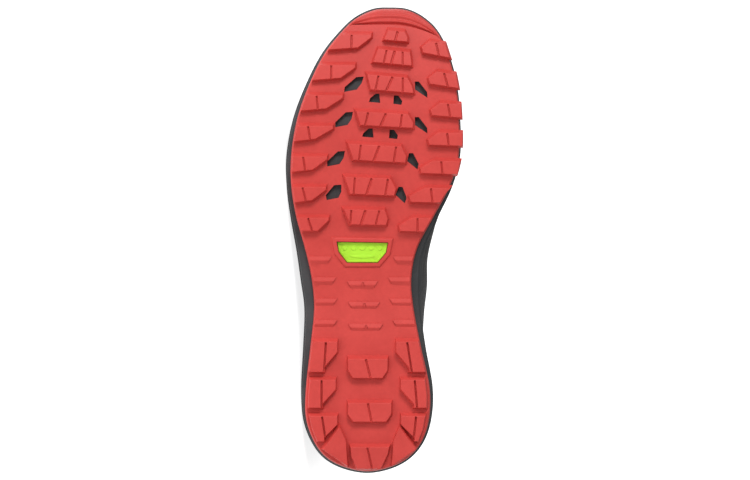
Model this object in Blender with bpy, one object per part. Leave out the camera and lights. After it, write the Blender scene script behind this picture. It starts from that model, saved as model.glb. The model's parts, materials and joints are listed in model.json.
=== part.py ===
"""Trail running shoe for the right foot, empty and unworn, lying on its outer side.

The shoe is modelled upright in its own frame: +Y runs from the heel to the toe, +X to the
outer (lateral) side and +Z up from the plane of the lugs. One empty then lays it down on
the edge of its sole and the side of its collar, with the sole facing -Y and the toe -X.

Everything around the shoe is read from sections that run from the heel to the toe. Each
section gives a point on the outer side and one on the inner side, so a closed ring around
the shoe passes through all of them, and every solid is a stack of such rings.
"""

import math
from collections import namedtuple

import bmesh
import bpy
from mathutils import Matrix, Vector

# Driving sizes, in metres
LENGTH = 0.300
BALL_WIDTH = 0.108
HEEL_WIDTH = 0.081
COLLAR_WIDTH = 0.066
TAB_HEIGHT = 0.100
HEEL_STACK = 0.0275
FOREFOOT_STACK = 0.0205
TOE_SPRING = 0.0160
TOE_LIFT = 0.50
HEEL_BEVEL = 0.0045
ARCH_RISE = 0.0020

# Where the footbed falls from the heel's to the forefoot's height, as shares of LENGTH
DROP_SPAN = (0.20, 0.72)

# Outsole
LUG_HEIGHT = 0.0045
LUG_DRAFT = 0.0007
LUG_ROOT = 0.0014
PLATE = 0.0030
EDGE_ROLL = 0.0012
RUBBER_WALL = 0.0017
RUBBER_LIP = 0.0010
TOE_RIB = 0.0009
BAR_HEIGHT = 0.0013
BAR_DEPTH = 0.0051
RIM_HEIGHT = 0.0009
RIM_WIDTH = 0.0025
BADGE_THICKNESS = 0.0024

# Midsole
FLARE = 0.0062
MIDSOLE_LIP = 0.0024
SIDE_GROOVE = 0.0011

# Upper, insole and tongue
UPPER_WALL = 0.0020
COLLAR_PAD = 0.0045
FEATHER_INSET = 0.0052
INSOLE_THICKNESS = 0.0040
INSOLE_CUP = 0.80
INSOLE_CUP_WIDTH = 0.0080
TONGUE_THICKNESS = 0.0042
TONGUE_CROWN = 0.0070
TONGUE_MARGIN = 0.14
TONGUE_TUCK = 0.0012
OVERLAY = 0.0009

# Lacing
EYELET_RADIUS = 0.0022
EYELET_SIDES = 6
LACE_RADIUS = 0.0018
LACE_LIFT = 0.0060

# Clearance between pieces that touch
GAP = 0.0003

# Weights of the materials, in kg per cubic metre, for the balance of the lying shoe
RUBBER_DENSITY = 1150
FOAM_DENSITY = 180
FABRIC_DENSITY = 450

# Plan of the sole: where each section lies along the length, and how far the edge of the
# tread stands out on the outer and inner side, as shares of the breadth there
Outline = namedtuple("Outline", "along lateral medial")
OUTLINE = [
    Outline(0.000, 0.000, 0.000),
    Outline(0.010, 0.191, 0.191),
    Outline(0.033, 0.340, 0.340),
    Outline(0.070, 0.437, 0.444),
    Outline(0.120, 0.494, 0.496),
    Outline(0.183, 0.491, 0.496),
    Outline(0.267, 0.457, 0.430),
    Outline(0.350, 0.418, 0.362),
    Outline(0.417, 0.406, 0.319),
    Outline(0.483, 0.417, 0.333),
    Outline(0.550, 0.441, 0.411),
    Outline(0.617, 0.457, 0.496),
    Outline(0.683, 0.457, 0.548),
    Outline(0.760, 0.422, 0.550),
    Outline(0.833, 0.352, 0.531),
    Outline(0.900, 0.261, 0.483),
    Outline(0.950, 0.153, 0.417),
    Outline(0.980, 0.063, 0.333),
    Outline(0.997, -0.037, 0.236),
    Outline(1.000, -0.130, 0.130),
]
LAST_ROW = len(OUTLINE) - 1
STATIONS = 2 * LAST_ROW
PER_GAP = 2
RING = STATIONS * PER_GAP

# How far the side of the midsole stands out past the tread, as shares of FLARE
Flare = namedtuple("Flare", "row lateral medial")
FLARES = [
    Flare(0, 0.05, 0.05),
    Flare(4, 0.20, 0.10),
    Flare(6, 0.60, 0.32),
    Flare(8, 1.00, 0.74),
    Flare(10, 0.45, 0.26),
    Flare(12, 0.35, 0.00),
    Flare(15, 0.10, 0.00),
    Flare(19, 0.00, 0.00),
]

# Upper edge of the upper: collar from row 0 to 10, throat from row 10 to 19. Lateral and
# medial are shares of COLLAR_WIDTH, height is a share of TAB_HEIGHT
Topline = namedtuple("Topline", "row along lateral medial height")
TOPLINE = [
    Topline(0, 0.028, 0.000, 0.000, 1.000),
    Topline(2, 0.042, 0.226, 0.226, 0.972),
    Topline(4, 0.103, 0.435, 0.435, 0.876),
    Topline(6, 0.227, 0.500, 0.500, 0.806),
    Topline(8, 0.347, 0.452, 0.460, 0.872),
    Topline(10, 0.447, 0.340, 0.360, 0.955),
    Topline(12, 0.550, 0.266, 0.298, 0.880),
    Topline(14, 0.633, 0.194, 0.298, 0.794),
    Topline(16, 0.685, 0.065, 0.266, 0.741),
    Topline(18, 0.705, -0.056, 0.137, 0.722),
    Topline(19, 0.707, -0.097, 0.097, 0.721),
]

# Bend of the upper between its lower and upper edge. Rise and drop are shares of
# TAB_HEIGHT, the bulges and spread are shares of BALL_WIDTH
Bend = namedtuple("Bend", "row rise lateral medial spread drop")
BENDS = [
    Bend(0, 0.30, 0.065, 0.065, -0.055, 0.24),
    Bend(2, 0.29, 0.046, 0.046, -0.018, 0.23),
    Bend(4, 0.26, 0.010, 0.050, 0.022, 0.21),
    Bend(6, 0.24, -0.010, 0.088, 0.032, 0.21),
    Bend(8, 0.25, -0.008, 0.222, 0.075, 0.22),
    Bend(10, 0.27, 0.014, 0.150, 0.160, 0.21),
    Bend(12, 0.24, 0.024, 0.024, 0.213, 0.15),
    Bend(14, 0.25, 0.024, 0.024, 0.278, 0.12),
    Bend(16, 0.27, 0.026, 0.026, 0.390, 0.10),
    Bend(19, 0.28, 0.028, 0.028, 0.460, 0.10),
]

# Levels of the rings of the upper, as shares of the way from its lower to its upper edge
LIP_LEVEL = 0.09
LEVELS = [0.0, LIP_LEVEL, 0.24, 0.42, 0.62, 0.81, 0.94, 1.0]

# Overlays are cut from a shell round the upper: the shape of each seen from the side, as
# shares of LENGTH along and of TAB_HEIGHT up
TOE_RAND = [
    (0.50, 0.0), (0.505, 0.36), (0.62, 0.37), (0.76, 0.41),
    (0.86, 0.48), (0.93, 0.57), (1.1, 0.60), (1.1, 0.0),
]
HEEL_COUNTER = [
    (-0.1, 0.0), (-0.1, 0.78), (0.03, 0.75), (0.10, 0.60), (0.17, 0.47), (0.25, 0.37), (0.28, 0.0),
]
OVERLAY_CLEAR = 0.02
OVERLAY_FOOT = LIP_LEVEL + OVERLAY_CLEAR
EYESTAY_START = 9.5
EYESTAY_LEVELS = [0.76, 0.81, 0.94, 0.985]

# Rows of the eyelet pairs, from the instep down to the toe
EYELET_ROWS = [10.3, 11.2, 12.1, 13.1, 14.2, 15.4]
EYELET_LEVEL = 0.905

# Tongue: the rows that it passes under the throat, then its free end as steps up, each
# with its length as a share of TAB_HEIGHT, its lean in degrees and its width
TONGUE_ROWS = [18.0, 17.0, 15.8, 14.5, 13.1, 11.7, 10.4]
Step = namedtuple("Step", "length lean width")
TONGUE_PATH = [Step(0.08, 24, 1.00), Step(0.08, 38, 1.06), Step(0.07, 52, 1.10), Step(0.03, 58, 1.03)]

# Front of the tread: the toe bumper rises in front of this line, which runs straight across
# on the outer side of TOE_LINE_TURN and falls back in a curve on the inner side
TOE_LINE = 0.9645
TOE_LINE_TURN = -0.10
TOE_LINE_CURVE = 2.3
TOE_WRAP = 0.0125

# Side of the rubber from the tread up: share of the way, and how far the toe's ribs step in
RUBBER_SIDE = [(0.0, 0.0), (0.38, 0.0), (0.44, 1.0), (0.68, 0.0), (0.74, 1.0), (1.0, 0.3)]

# Side of the midsole from the rubber up: share of the way, and how far it stands out
MIDSOLE_SIDE = [(0.03, -0.3), (0.32, 0.1), (0.40, -1.0), (0.49, 0.1), (0.80, 0.0), (1.0, 0.0)]

# Share of the midsole's side from which it turns in to the lip
SIDE_TURN = 0.45

# Forefoot lugs at the edges, from the toe back: how far in each one reaches and the slant of
# its tip, as shares of BALL_WIDTH, front and depth of its inner-side fellow as shares of
# LENGTH, and how that one is turned, in degrees
EdgeLug = namedtuple(
    "EdgeLug", "lateral_tip lateral_slant medial_front medial_depth medial_tip medial_slant medial_turn"
)
EDGE_LUGS = [
    EdgeLug(-0.027, 0.082, 0.9345, 0.0315, 0.320, 0.050, 11),
    EdgeLug(0.070, 0.090, 0.8685, 0.0330, 0.360, 0.055, 9),
    EdgeLug(0.145, 0.100, 0.7995, 0.0325, 0.373, 0.062, 5),
    EdgeLug(0.202, 0.110, 0.7345, 0.0315, 0.357, 0.068, 2),
    EdgeLug(0.238, 0.087, 0.6740, 0.0320, 0.310, 0.090, 2),
    EdgeLug(0.245, 0.085, 0.6155, 0.0355, 0.245, 0.105, 1.5),
    EdgeLug(0.229, 0.066, 0.5515, 0.0340, 0.183, 0.092, 2),
]
LATERAL_LUG_FRONT = 0.9455
LUG_PITCH = 0.0659
LUG_DEPTH = 0.0325
LUG_DROP = 0.0050
LATERAL_LUG_INSET = 0.0006
MEDIAL_LUG_OVERHANG = 0.0016

# Forefoot lugs in the middle: front and depth are shares of LENGTH, the rest shares of
# BALL_WIDTH from the axis, positive to the named side
CentreLug = namedtuple(
    "CentreLug", "front depth turn lateral_front lateral_back medial_front medial_tip medial_back"
)
CENTRE_LUGS = [
    CentreLug(0.9565, 0.0275, 4.7, -0.122, -0.094, 0.224, 0.246, 0.245),
    CentreLug(0.9160, 0.0355, 5.5, -0.062, -0.027, 0.257, 0.267, 0.270),
    CentreLug(0.8612, 0.0385, 4.8, 0.010, -0.016, 0.238, 0.274, 0.282),
    CentreLug(0.7812, 0.0355, 3.2, 0.077, 0.044, 0.243, 0.278, 0.277),
    CentreLug(0.7115, 0.0405, 3.3, 0.126, 0.088, 0.203, 0.238, 0.231),
    CentreLug(0.6400, 0.0425, 2.4, 0.146, 0.106, 0.136, 0.175, 0.164),
    CentreLug(0.5696, 0.0385, 1.0, 0.151, 0.106, 0.104, 0.127, 0.115),
]
CENTRE_LUG_TIP = 0.60

# Heel lugs at the edges: front and depth are shares of LENGTH, reaches of HEEL_WIDTH
HeelLug = namedtuple("HeelLug", "front depth lateral_reach medial_reach inset")
HEEL_LUGS = [
    HeelLug(0.280, 0.065, 0.241, 0.230, 0.0010),
    HeelLug(0.198, 0.060, 0.253, 0.267, 0.0024),
    HeelLug(0.120, 0.054, 0.241, 0.270, 0.0028),
]
HEEL_LUG_CUT = 0.105
HEEL_LUG_CUT_FROM = 0.34
HEEL_LUG_CUT_TO = 0.86
HEEL_CENTRE_LUGS = [HeelLug(0.243, 0.041, 0.154, 0.160, 0.0), HeelLug(0.148, 0.040, 0.154, 0.190, 0.0)]
HEEL_CENTRE_CUT = 0.040

# Rear lugs: corners as (across as a share of HEEL_WIDTH, along as a share of LENGTH)
REAR_LUG = [(0.135, 0.053), (-0.173, 0.053), (-0.164, 0.039), (-0.106, 0.006), (0.081, 0.006), (0.127, 0.032)]
REAR_WEDGE = [(0.221, 0.096), (0.172, 0.067), (0.159, 0.012), (0.352, 0.048)]
REAR_WEDGE_SHIFT = 0.036

# Bars across the waist: along as a share of LENGTH, the inner ends of the edge bars and
# the ends of the centre bars as shares of HEEL_WIDTH
Bar = namedtuple("Bar", "along lateral medial")
EDGE_BARS = [
    Bar(0.464, 0.285, 0.205),
    Bar(0.419, 0.250, 0.165),
    Bar(0.373, 0.242, 0.177),
    Bar(0.327, 0.241, 0.201),
]
CENTRE_BARS = [Bar(0.411, 0.164, 0.083), Bar(0.366, 0.155, 0.099), Bar(0.319, 0.153, 0.124)]
BAR_SLANT = 0.040

# Openings through the plate, as shares of LENGTH and BALL_WIDTH: the corner nearest the
# toe and the middle lug, how far the shape that hangs from it leans, and that shape
Window = namedtuple("Window", "across along lean")
LATERAL_WINDOWS = [
    Window(0.022, 0.8520, 0.33), Window(0.086, 0.7757, 0.0), Window(0.134, 0.6913, 0.0), Window(0.156, 0.6187, -0.56),
]
MEDIAL_WINDOWS = [
    Window(0.284, 0.8413, 0.0), Window(0.284, 0.7643, 0.0), Window(0.249, 0.6866, -0.69), Window(0.186, 0.6137, -1.06),
]
LATERAL_SMALL_WINDOWS = [Window(-0.071, 0.815, 0.0), Window(-0.031, 0.740, 0.0)]
MEDIAL_SMALL_WINDOWS = [Window(0.159, 0.811, 0.0), Window(0.133, 0.737, 0.0)]
LATERAL_WINDOW = [
    (0.0, 0.0), (0.009, -0.0153), (0.033, -0.0283), (0.107, -0.0333), (0.1065, -0.0227), (0.0435, -0.001),
]
MEDIAL_WINDOW = [(0.0, 0.0), (0.001, -0.0173), (0.075, -0.0353), (0.074, -0.0233), (0.024, 0.0)]
LATERAL_SMALL_WINDOW = [(0.0, 0.0), (-0.006, -0.020), (0.062, -0.018), (0.055, -0.010), (0.022, 0.0)]
MEDIAL_SMALL_WINDOW = [(0.0, 0.0), (-0.004, -0.018), (0.044, -0.020), (0.050, -0.012), (0.026, 0.0)]

# Badge window in the waist: corners as shares of HEEL_WIDTH across and LENGTH along
BADGE = [(0.246, 0.496), (0.232, 0.474), (0.164, 0.450), (-0.083, 0.450), (-0.151, 0.472), (-0.167, 0.494)]

# Colours, as linear red, green and blue
RED_RUBBER = (0.62, 0.070, 0.062)
LIME_RUBBER = (0.42, 0.85, 0.055)
GREY_FOAM = (0.075, 0.078, 0.080)
BLACK_MESH = (0.018, 0.018, 0.019)
BLACK_FILM = (0.030, 0.030, 0.032)
GREY_LACE = (0.045, 0.046, 0.048)
GREY_INSOLE = (0.085, 0.085, 0.088)


def smoothstep(value, low, high):
    """Eases from 0 at low to 1 at high."""
    share = min(1.0, max(0.0, (value - low) / (high - low)))
    return share * share * (3 - 2 * share)


def catmull(a, b, c, d, share):
    """Point between b and c on the smooth curve through a, b, c and d."""
    tangent_b = (c - a) * 0.5
    tangent_c = (d - b) * 0.5
    square = share * share
    cube = square * share
    return (
        b * (2 * cube - 3 * square + 1)
        + tangent_b * (cube - 2 * square + share)
        + c * (3 * square - 2 * cube)
        + tangent_c * (cube - square)
    )


def column_at(rows, column, row):
    """Value of a table's column at a row number between those that it lists."""
    row = min(max(row, rows[0].row), rows[-1].row)
    upper = next(n for n in range(1, len(rows)) if rows[n].row >= row)
    low, high = rows[upper - 1], rows[upper]
    share = (row - low.row) / (high.row - low.row)
    start, end = getattr(low, column), getattr(high, column)
    before, after = rows[max(upper - 2, 0)], rows[min(upper + 1, len(rows) - 1)]
    width = high.row - low.row
    slope_start = (end - getattr(before, column)) / (high.row - before.row) * width
    slope_end = (getattr(after, column) - start) / (after.row - low.row) * width
    square = share * share
    cube = square * share
    return (
        start * (2 * cube - 3 * square + 1)
        + slope_start * (cube - 2 * square + share)
        + end * (3 * square - 2 * cube)
        + slope_end * (cube - square)
    )


def breadth(along):
    """Breadth that the outline's shares refer to: the heel's, then the ball's."""
    return HEEL_WIDTH + (BALL_WIDTH - HEEL_WIDTH) * smoothstep(along, 0.30, 0.62)


def tread(y):
    """Height of the lugs' ground faces: flat from heel to ball, then the toe spring."""
    along = y / LENGTH
    toe = max(0.0, (along - 0.67) / 0.33)
    heel = max(0.0, (0.10 - along) / 0.10)
    return TOE_SPRING * toe * toe + HEEL_BEVEL * heel * heel


def plate_under(y):
    """Height of the plate's underside between the lugs, arched in the waist."""
    along = y / LENGTH
    arch = smoothstep(along, 0.28, 0.38) * (1 - smoothstep(along, 0.44, 0.54))
    return tread(y) + LUG_HEIGHT + ARCH_RISE * arch


def plate_over(y):
    return plate_under(y) + PLATE


def footbed(y):
    """Height of the midsole's top, under the insole."""
    along = y / LENGTH
    toe = max(0.0, (along - 0.67) / 0.33)
    drop = (HEEL_STACK - FOREFOOT_STACK) * (1 - smoothstep(along, *DROP_SPAN))
    return FOREFOOT_STACK + drop + TOE_LIFT * TOE_SPRING * toe * toe


class Station:
    """One section's point on one side of the shoe, with the curve of the upper there."""

    def __init__(self, index):
        self.index = index
        self.row = index if index <= LAST_ROW else STATIONS - index
        self.side = "lateral" if index <= LAST_ROW else "medial"
        section = OUTLINE[self.row]
        sign = 1 if self.side == "lateral" else -1
        self.sign = sign
        half = getattr(section, self.side) * breadth(section.along)
        self.edge = Vector((sign * half, section.along * LENGTH, 0))
        self.normal = Vector((0, 0, 0))

    def shape(self, before, after):
        """Sets what depends on the neighbours: the outward normal and the upper's curve."""
        way = (after.edge - before.edge).normalized()
        self.normal = Vector((way.y, -way.x, 0))
        flare = column_at(FLARES, self.side, self.row) * FLARE
        self.flare = flare
        foot = self.edge + self.normal * (flare - FEATHER_INSET)
        foot.z = footbed(foot.y) + GAP
        half = column_at(TOPLINE, self.side, self.row) * COLLAR_WIDTH
        top = Vector(
            (
                self.sign * half,
                column_at(TOPLINE, "along", self.row) * LENGTH,
                column_at(TOPLINE, "height", self.row) * TAB_HEIGHT,
            )
        )
        reach = Vector((foot.x - top.x, foot.y - top.y, 0)).normalized()
        bulge = column_at(BENDS, self.side, self.row) * BALL_WIDTH
        rise = column_at(BENDS, "rise", self.row) * TAB_HEIGHT
        spread = column_at(BENDS, "spread", self.row) * BALL_WIDTH
        drop = column_at(BENDS, "drop", self.row) * TAB_HEIGHT
        lower = foot + self.normal * bulge + Vector((0, 0, rise))
        upper = top + reach * spread - Vector((0, 0, drop))
        self.curve = (foot, lower, upper, top)

    def skin(self, level):
        """Outer surface of the upper at a level from 0, its foot, to 1, its top edge."""
        foot, lower, upper, top = self.curve
        rest = 1 - level
        return (
            foot * rest**3
            + lower * 3 * rest * rest * level
            + upper * 3 * rest * level * level
            + top * level**3
        )


def make_stations():
    made = [Station(index) for index in range(STATIONS)]
    for index, station in enumerate(made):
        station.shape(made[index - 1], made[(index + 1) % STATIONS])
    return made


STATION = make_stations()


def around(place, value_of):
    """Smooth closed curve through a value of every station, at a place from 0 to STATIONS."""
    first = math.floor(place)
    near = [STATION[(first + step) % STATIONS] for step in (-1, 0, 1, 2)]
    return catmull(*[value_of(station) for station in near], place - first)


def row_place(side, row):
    """Place around the shoe of a row on one side."""
    return row if side == "lateral" else STATIONS - row


def skin(place, level, offset=0.0):
    """Point on the upper, moved outwards along its normal by offset."""
    point = around(place, lambda station: station.skin(level))
    if offset == 0.0:
        return point
    step = 0.02
    low, high = max(level - step, 0.0), min(level + step, 1.0)
    along = around(place + step, lambda s: s.skin(level)) - around(place - step, lambda s: s.skin(level))
    up = around(place, lambda s: s.skin(high)) - around(place, lambda s: s.skin(low))
    return point + along.cross(up).normalized() * offset


def edge(place, offset=0.0):
    """Point of the sole's outline in plan, moved outwards by offset."""
    return around(place, lambda station: station.edge + station.normal * offset)


def toe_line(x):
    """Length at which the tread ends in front, at a distance from the axis."""
    inner = min(x / LENGTH - TOE_LINE_TURN * BALL_WIDTH / LENGTH, 0.0)
    return (TOE_LINE - TOE_LINE_CURVE * inner * inner) * LENGTH


def tread_edge(place, inset):
    """Edge of the flat tread: the outline, moved in, and cut off at the toe line."""
    point = edge(place, -inset)
    point.y = min(point.y, toe_line(point.x))
    return point


def toe_share(place):
    """0 along the sides, rising to 1 where the bumper wraps the toe."""
    rolled = (edge(place) - tread_edge(place, 0.0)).length
    return smoothstep(rolled, 0.0, 0.030 * LENGTH)


def wrap_height(place):
    """Height of the rubber's outer edge above the underside of the plate."""
    low = PLATE + RUBBER_LIP
    return low + (TOE_WRAP - low) * toe_share(place)


def outer_wall(place, share, ribbed=0.0):
    """Outer surface of the rubber, from the tread's edge at share 0 up to its top at 1."""
    start = tread_edge(place, EDGE_ROLL)
    end = edge(place, -ribbed * TOE_RIB * toe_share(place))
    turn = math.sin(share * math.pi / 2)
    point = start.lerp(end, turn)
    rise = wrap_height(place) * (1 - math.cos(share * math.pi / 2))
    point.z = plate_under(start.y) + rise
    return point


def inner_wall(place, share, inset=0.0):
    """Inner surface of the rubber, from the top of the plate at share 0 up to its top at 1."""
    start = tread_edge(place, RUBBER_WALL + inset)
    end = edge(place, -RUBBER_WALL - inset)
    turn = math.sin(share * math.pi / 2)
    point = start.lerp(end, turn)
    rise = (wrap_height(place) - PLATE) * (1 - math.cos(share * math.pi / 2))
    point.z = plate_over(start.y) + rise
    return point


def material(name, colour, roughness):
    made = bpy.data.materials.new(name)
    made.use_nodes = True
    shader = made.node_tree.nodes["Principled BSDF"]
    shader.inputs["Base Color"].default_value = (*colour, 1)
    shader.inputs["Roughness"].default_value = roughness
    shader.inputs["Metallic"].default_value = 0.0
    made.diffuse_color = (*colour, 1)
    return made


def mesh_object(name, points, faces, collection, finish=None):
    """Object from points and faces, with doubles merged and the faces pointing out."""
    mesh = bpy.data.meshes.new(name)
    shape = bmesh.new()
    corners = [shape.verts.new(point) for point in points]
    for face in faces:
        shape.faces.new([corners[index] for index in face])
    bmesh.ops.remove_doubles(shape, verts=shape.verts, dist=1e-6)
    bmesh.ops.dissolve_degenerate(shape, dist=1e-6, edges=shape.edges)
    bmesh.ops.recalc_face_normals(shape, faces=shape.faces)
    shape.to_mesh(mesh)
    shape.free()
    made = bpy.data.objects.new(name, mesh)
    collection.objects.link(made)
    if finish is not None:
        mesh.materials.append(finish)
        mesh.shade_smooth()
        mesh.set_sharp_from_angle(angle=math.radians(40))
    return made


def ring_of(point_at):
    return [point_at(step / PER_GAP) for step in range(RING)]


def ladder(start):
    """Faces across a ring that starts at the heel and passes the toe half way round."""
    half = RING // 2
    faces = [(start, start + 1, start + RING - 1)]
    for step in range(1, half - 1):
        far = start + RING - step
        faces.append((start + step, start + step + 1, far - 1, far))
    faces.append((start + half - 1, start + half, start + half + 1))
    return faces


def stack(rings, forward=None, backward=None):
    """Points and faces of a solid whose rings run from one laddered end to the other.

    The quads above the rings numbered forward and backward are cut along the diagonal that
    leans that way, so that they lie beside the upper's without crossing it.
    """
    points = [point for ring in rings for point in ring]
    faces = ladder(0)
    for level in range(len(rings) - 1):
        base = level * RING
        for step in range(RING):
            after = (step + 1) % RING
            a, b, c, d = base + step, base + after, base + RING + after, base + RING + step
            if level == forward:
                faces += [(a, b, c), (a, c, d)]
            elif level == backward:
                faces += [(a, b, d), (b, c, d)]
            else:
                faces.append((a, b, c, d))
    faces += ladder((len(rings) - 1) * RING)
    return points, faces


def slab(outer, inner, closed=False):
    """Points and faces of a shell between two sheets of equal rows and columns."""
    rows, columns = len(outer), len(outer[0])
    points = [point for sheet in (outer, inner) for line in sheet for point in line]
    under = rows * columns
    faces = []
    last = columns if closed else columns - 1
    for row in range(rows - 1):
        for column in range(last):
            beside = (column + 1) % columns
            corner, across = row * columns + column, row * columns + beside
            above, far = corner + columns, across + columns
            for face in ((corner, across, far), (corner, far, above)):
                faces.append(face)
                faces.append(tuple(under + index for index in reversed(face)))
    for row in (0, rows - 1):
        for column in range(last):
            beside = (column + 1) % columns
            low, high = row * columns + column, row * columns + beside
            faces.append((low, high, under + high, under + low))
    if not closed:
        for column in (0, columns - 1):
            for row in range(rows - 1):
                low, high = row * columns + column, (row + 1) * columns + column
                faces.append((low, high, under + high, under + low))
    return points, faces


def prisms(name, blocks, collection):
    """One helper mesh of separate prisms, each a list of (lower ring, upper ring)."""
    points, faces = [], []
    for lower, upper in blocks:
        base, count = len(points), len(lower)
        points += lower + upper
        faces.append(tuple(range(base, base + count)))
        faces.append(tuple(range(base + count, base + 2 * count)))
        for step in range(count):
            after = (step + 1) % count
            faces.append((base + step, base + after, base + count + after, base + count + step))
    made = mesh_object(name, points, faces, collection)
    made.hide_render = True
    made.display_type = "WIRE"
    return made


def grown(corners, by):
    """Corners in plan moved outwards from their middle, by the same distance each way."""
    middle = sum(corners, Vector((0, 0))) / len(corners)
    count = len(corners)
    turned = sum(
        (corners[n] - middle).cross(corners[(n + 1) % count] - middle) for n in range(count)
    )
    sign = 1 if turned > 0 else -1
    moved = []
    for n, corner in enumerate(corners):
        before = (corner - corners[n - 1]).normalized()
        after = (corners[(n + 1) % count] - corner).normalized()
        out_before = Vector((before.y, -before.x)) * sign
        out_after = Vector((after.y, -after.x)) * sign
        mean = (out_before + out_after).normalized()
        moved.append(corner + mean * (by / max(0.5, mean.dot(out_before))))
    return moved


def raised_block(corners, ground, draft):
    """Prism from a ground face up into the plate, wider at its root by the draft."""
    lower = [Vector((c.x, c.y, ground(c.y))) for c in corners]
    upper = [Vector((c.x, c.y, plate_under(c.y) + LUG_ROOT)) for c in grown(corners, draft)]
    return lower, upper


def edge_x(side, y, offset):
    """Distance from the axis to the sole's edge on one side at a length, moved outwards."""
    low, high = 0, LAST_ROW
    for _ in range(40):
        middle = (low + high) / 2
        if edge(row_place(side, middle)).y < y:
            low = middle
        else:
            high = middle
    return abs(edge(row_place(side, low), offset).x)


def turned(corners, centre, degrees):
    """Corners in plan slanted so that their lines fall away to the inner side."""
    slant = math.tan(math.radians(degrees))
    return [Vector((c.x, c.y + (c.x - centre) * slant)) for c in corners]


def forefoot_edge_blocks():
    blocks = []
    for number, lug in enumerate(EDGE_LUGS):
        front = (LATERAL_LUG_FRONT - number * LUG_PITCH) * LENGTH
        depth = LUG_DEPTH * LENGTH
        back = front - depth
        drop = back - LUG_DROP * LENGTH if number < len(EDGE_LUGS) - 1 else back
        tip, slant = lug.lateral_tip * BALL_WIDTH, lug.lateral_slant * BALL_WIDTH
        corners = [
            (edge_x("lateral", front, -LATERAL_LUG_INSET), front),
            (tip, front),
            (tip, front - 0.3 * depth),
            (tip + slant, back),
            (edge_x("lateral", drop, -LATERAL_LUG_INSET), drop),
        ]
        blocks.append(raised_block([Vector(c) for c in corners], tread, LUG_DRAFT))
        front, depth = lug.medial_front * LENGTH, lug.medial_depth * LENGTH
        back = front - depth
        tip, slant = -lug.medial_tip * BALL_WIDTH, lug.medial_slant * BALL_WIDTH
        corners = [
            (-edge_x("medial", front - 0.2 * depth, MEDIAL_LUG_OVERHANG), front),
            (tip - slant, front),
            (tip, front - 0.60 * depth),
            (tip - 0.012 * BALL_WIDTH, back),
            (-edge_x("medial", back, MEDIAL_LUG_OVERHANG), back),
        ]
        corners = turned([Vector(c) for c in corners], tip, lug.medial_turn)
        blocks.append(raised_block(corners, tread, LUG_DRAFT))
    return blocks


def forefoot_centre_blocks():
    blocks = []
    for lug in CENTRE_LUGS:
        front, depth = lug.front * LENGTH, lug.depth * LENGTH
        corners = [
            (lug.lateral_front, 0.0),
            (-lug.medial_front, 0.0),
            (-lug.medial_tip, CENTRE_LUG_TIP),
            (-lug.medial_back, 1.0),
            (lug.lateral_back, 1.0),
        ]
        placed = [Vector((across * BALL_WIDTH, front - share * depth)) for across, share in corners]
        blocks.append(raised_block(turned(placed, placed[0].x, lug.turn), tread, LUG_DRAFT))
    return blocks


def heel_blocks():
    blocks = []
    for lug in HEEL_LUGS:
        front, depth = lug.front * LENGTH, lug.depth * LENGTH
        for side, sign in (("lateral", 1), ("medial", -1)):
            reach = getattr(lug, side + "_reach") * HEEL_WIDTH
            cut = reach + HEEL_LUG_CUT * HEEL_WIDTH
            corners = [
                (edge_x(side, front, -lug.inset), front),
                (reach, front),
                (reach, front - HEEL_LUG_CUT_FROM * depth),
                (cut, front - HEEL_LUG_CUT_TO * depth),
                (cut, front - depth),
                (edge_x(side, front - depth, -lug.inset), front - depth),
                (edge_x(side, front - 0.5 * depth, -lug.inset), front - 0.5 * depth),
            ]
            blocks.append(raised_block([Vector((sign * x, y)) for x, y in corners], tread, LUG_DRAFT))
    for lug in HEEL_CENTRE_LUGS:
        front, depth = lug.front * LENGTH, lug.depth * LENGTH
        lateral, medial = lug.lateral_reach * HEEL_WIDTH, lug.medial_reach * HEEL_WIDTH
        cut = HEEL_CENTRE_CUT * HEEL_WIDTH
        corners = [
            (lateral, front),
            (-medial, front),
            (-medial, front - CENTRE_LUG_TIP * depth),
            (cut - medial, front - depth),
            (lateral - cut, front - depth),
            (lateral, front - CENTRE_LUG_TIP * depth),
        ]
        blocks.append(raised_block([Vector(c) for c in corners], tread, LUG_DRAFT))
    rear = [Vector((x * HEEL_WIDTH, y * LENGTH)) for x, y in REAR_LUG]
    blocks.append(raised_block(rear, tread, LUG_DRAFT))
    wedge = [Vector((x * HEEL_WIDTH, y * LENGTH)) for x, y in REAR_WEDGE]
    blocks.append(raised_block(wedge, tread, LUG_DRAFT))
    shift = REAR_WEDGE_SHIFT * HEEL_WIDTH
    other = [Vector((-c.x - shift, c.y)) for c in wedge]
    blocks.append(raised_block(other, tread, LUG_DRAFT))
    return blocks


def waist_blocks():
    """Low bars across the waist, and the rim round the badge."""
    blocks = []
    slant = BAR_SLANT * HEEL_WIDTH

    def bar_ground(y):
        return plate_under(y) - BAR_HEIGHT

    for bar in EDGE_BARS:
        front, back = bar.along * LENGTH, bar.along * LENGTH - BAR_DEPTH
        for side, sign in (("lateral", 1), ("medial", -1)):
            inner = getattr(bar, side) * HEEL_WIDTH
            outer_front, outer_back = edge_x(side, front, -EDGE_ROLL), edge_x(side, back, -EDGE_ROLL)
            corners = [(outer_front, front), (inner, front), (inner + slant, back), (outer_back, back)]
            blocks.append(raised_block([Vector((sign * x, y)) for x, y in corners], bar_ground, 0.0))
    for bar in CENTRE_BARS:
        front, back = bar.along * LENGTH, bar.along * LENGTH - BAR_DEPTH
        lateral, medial = bar.lateral * HEEL_WIDTH, bar.medial * HEEL_WIDTH
        corners = [(lateral, front), (-medial, front), (slant - medial, back), (lateral - slant, back)]
        blocks.append(raised_block([Vector(c) for c in corners], bar_ground, 0.0))
    rim = grown(badge_corners(), RIM_WIDTH)
    blocks.append(raised_block(rim, lambda y: plate_under(y) - RIM_HEIGHT, 0.0))
    return blocks


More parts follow.
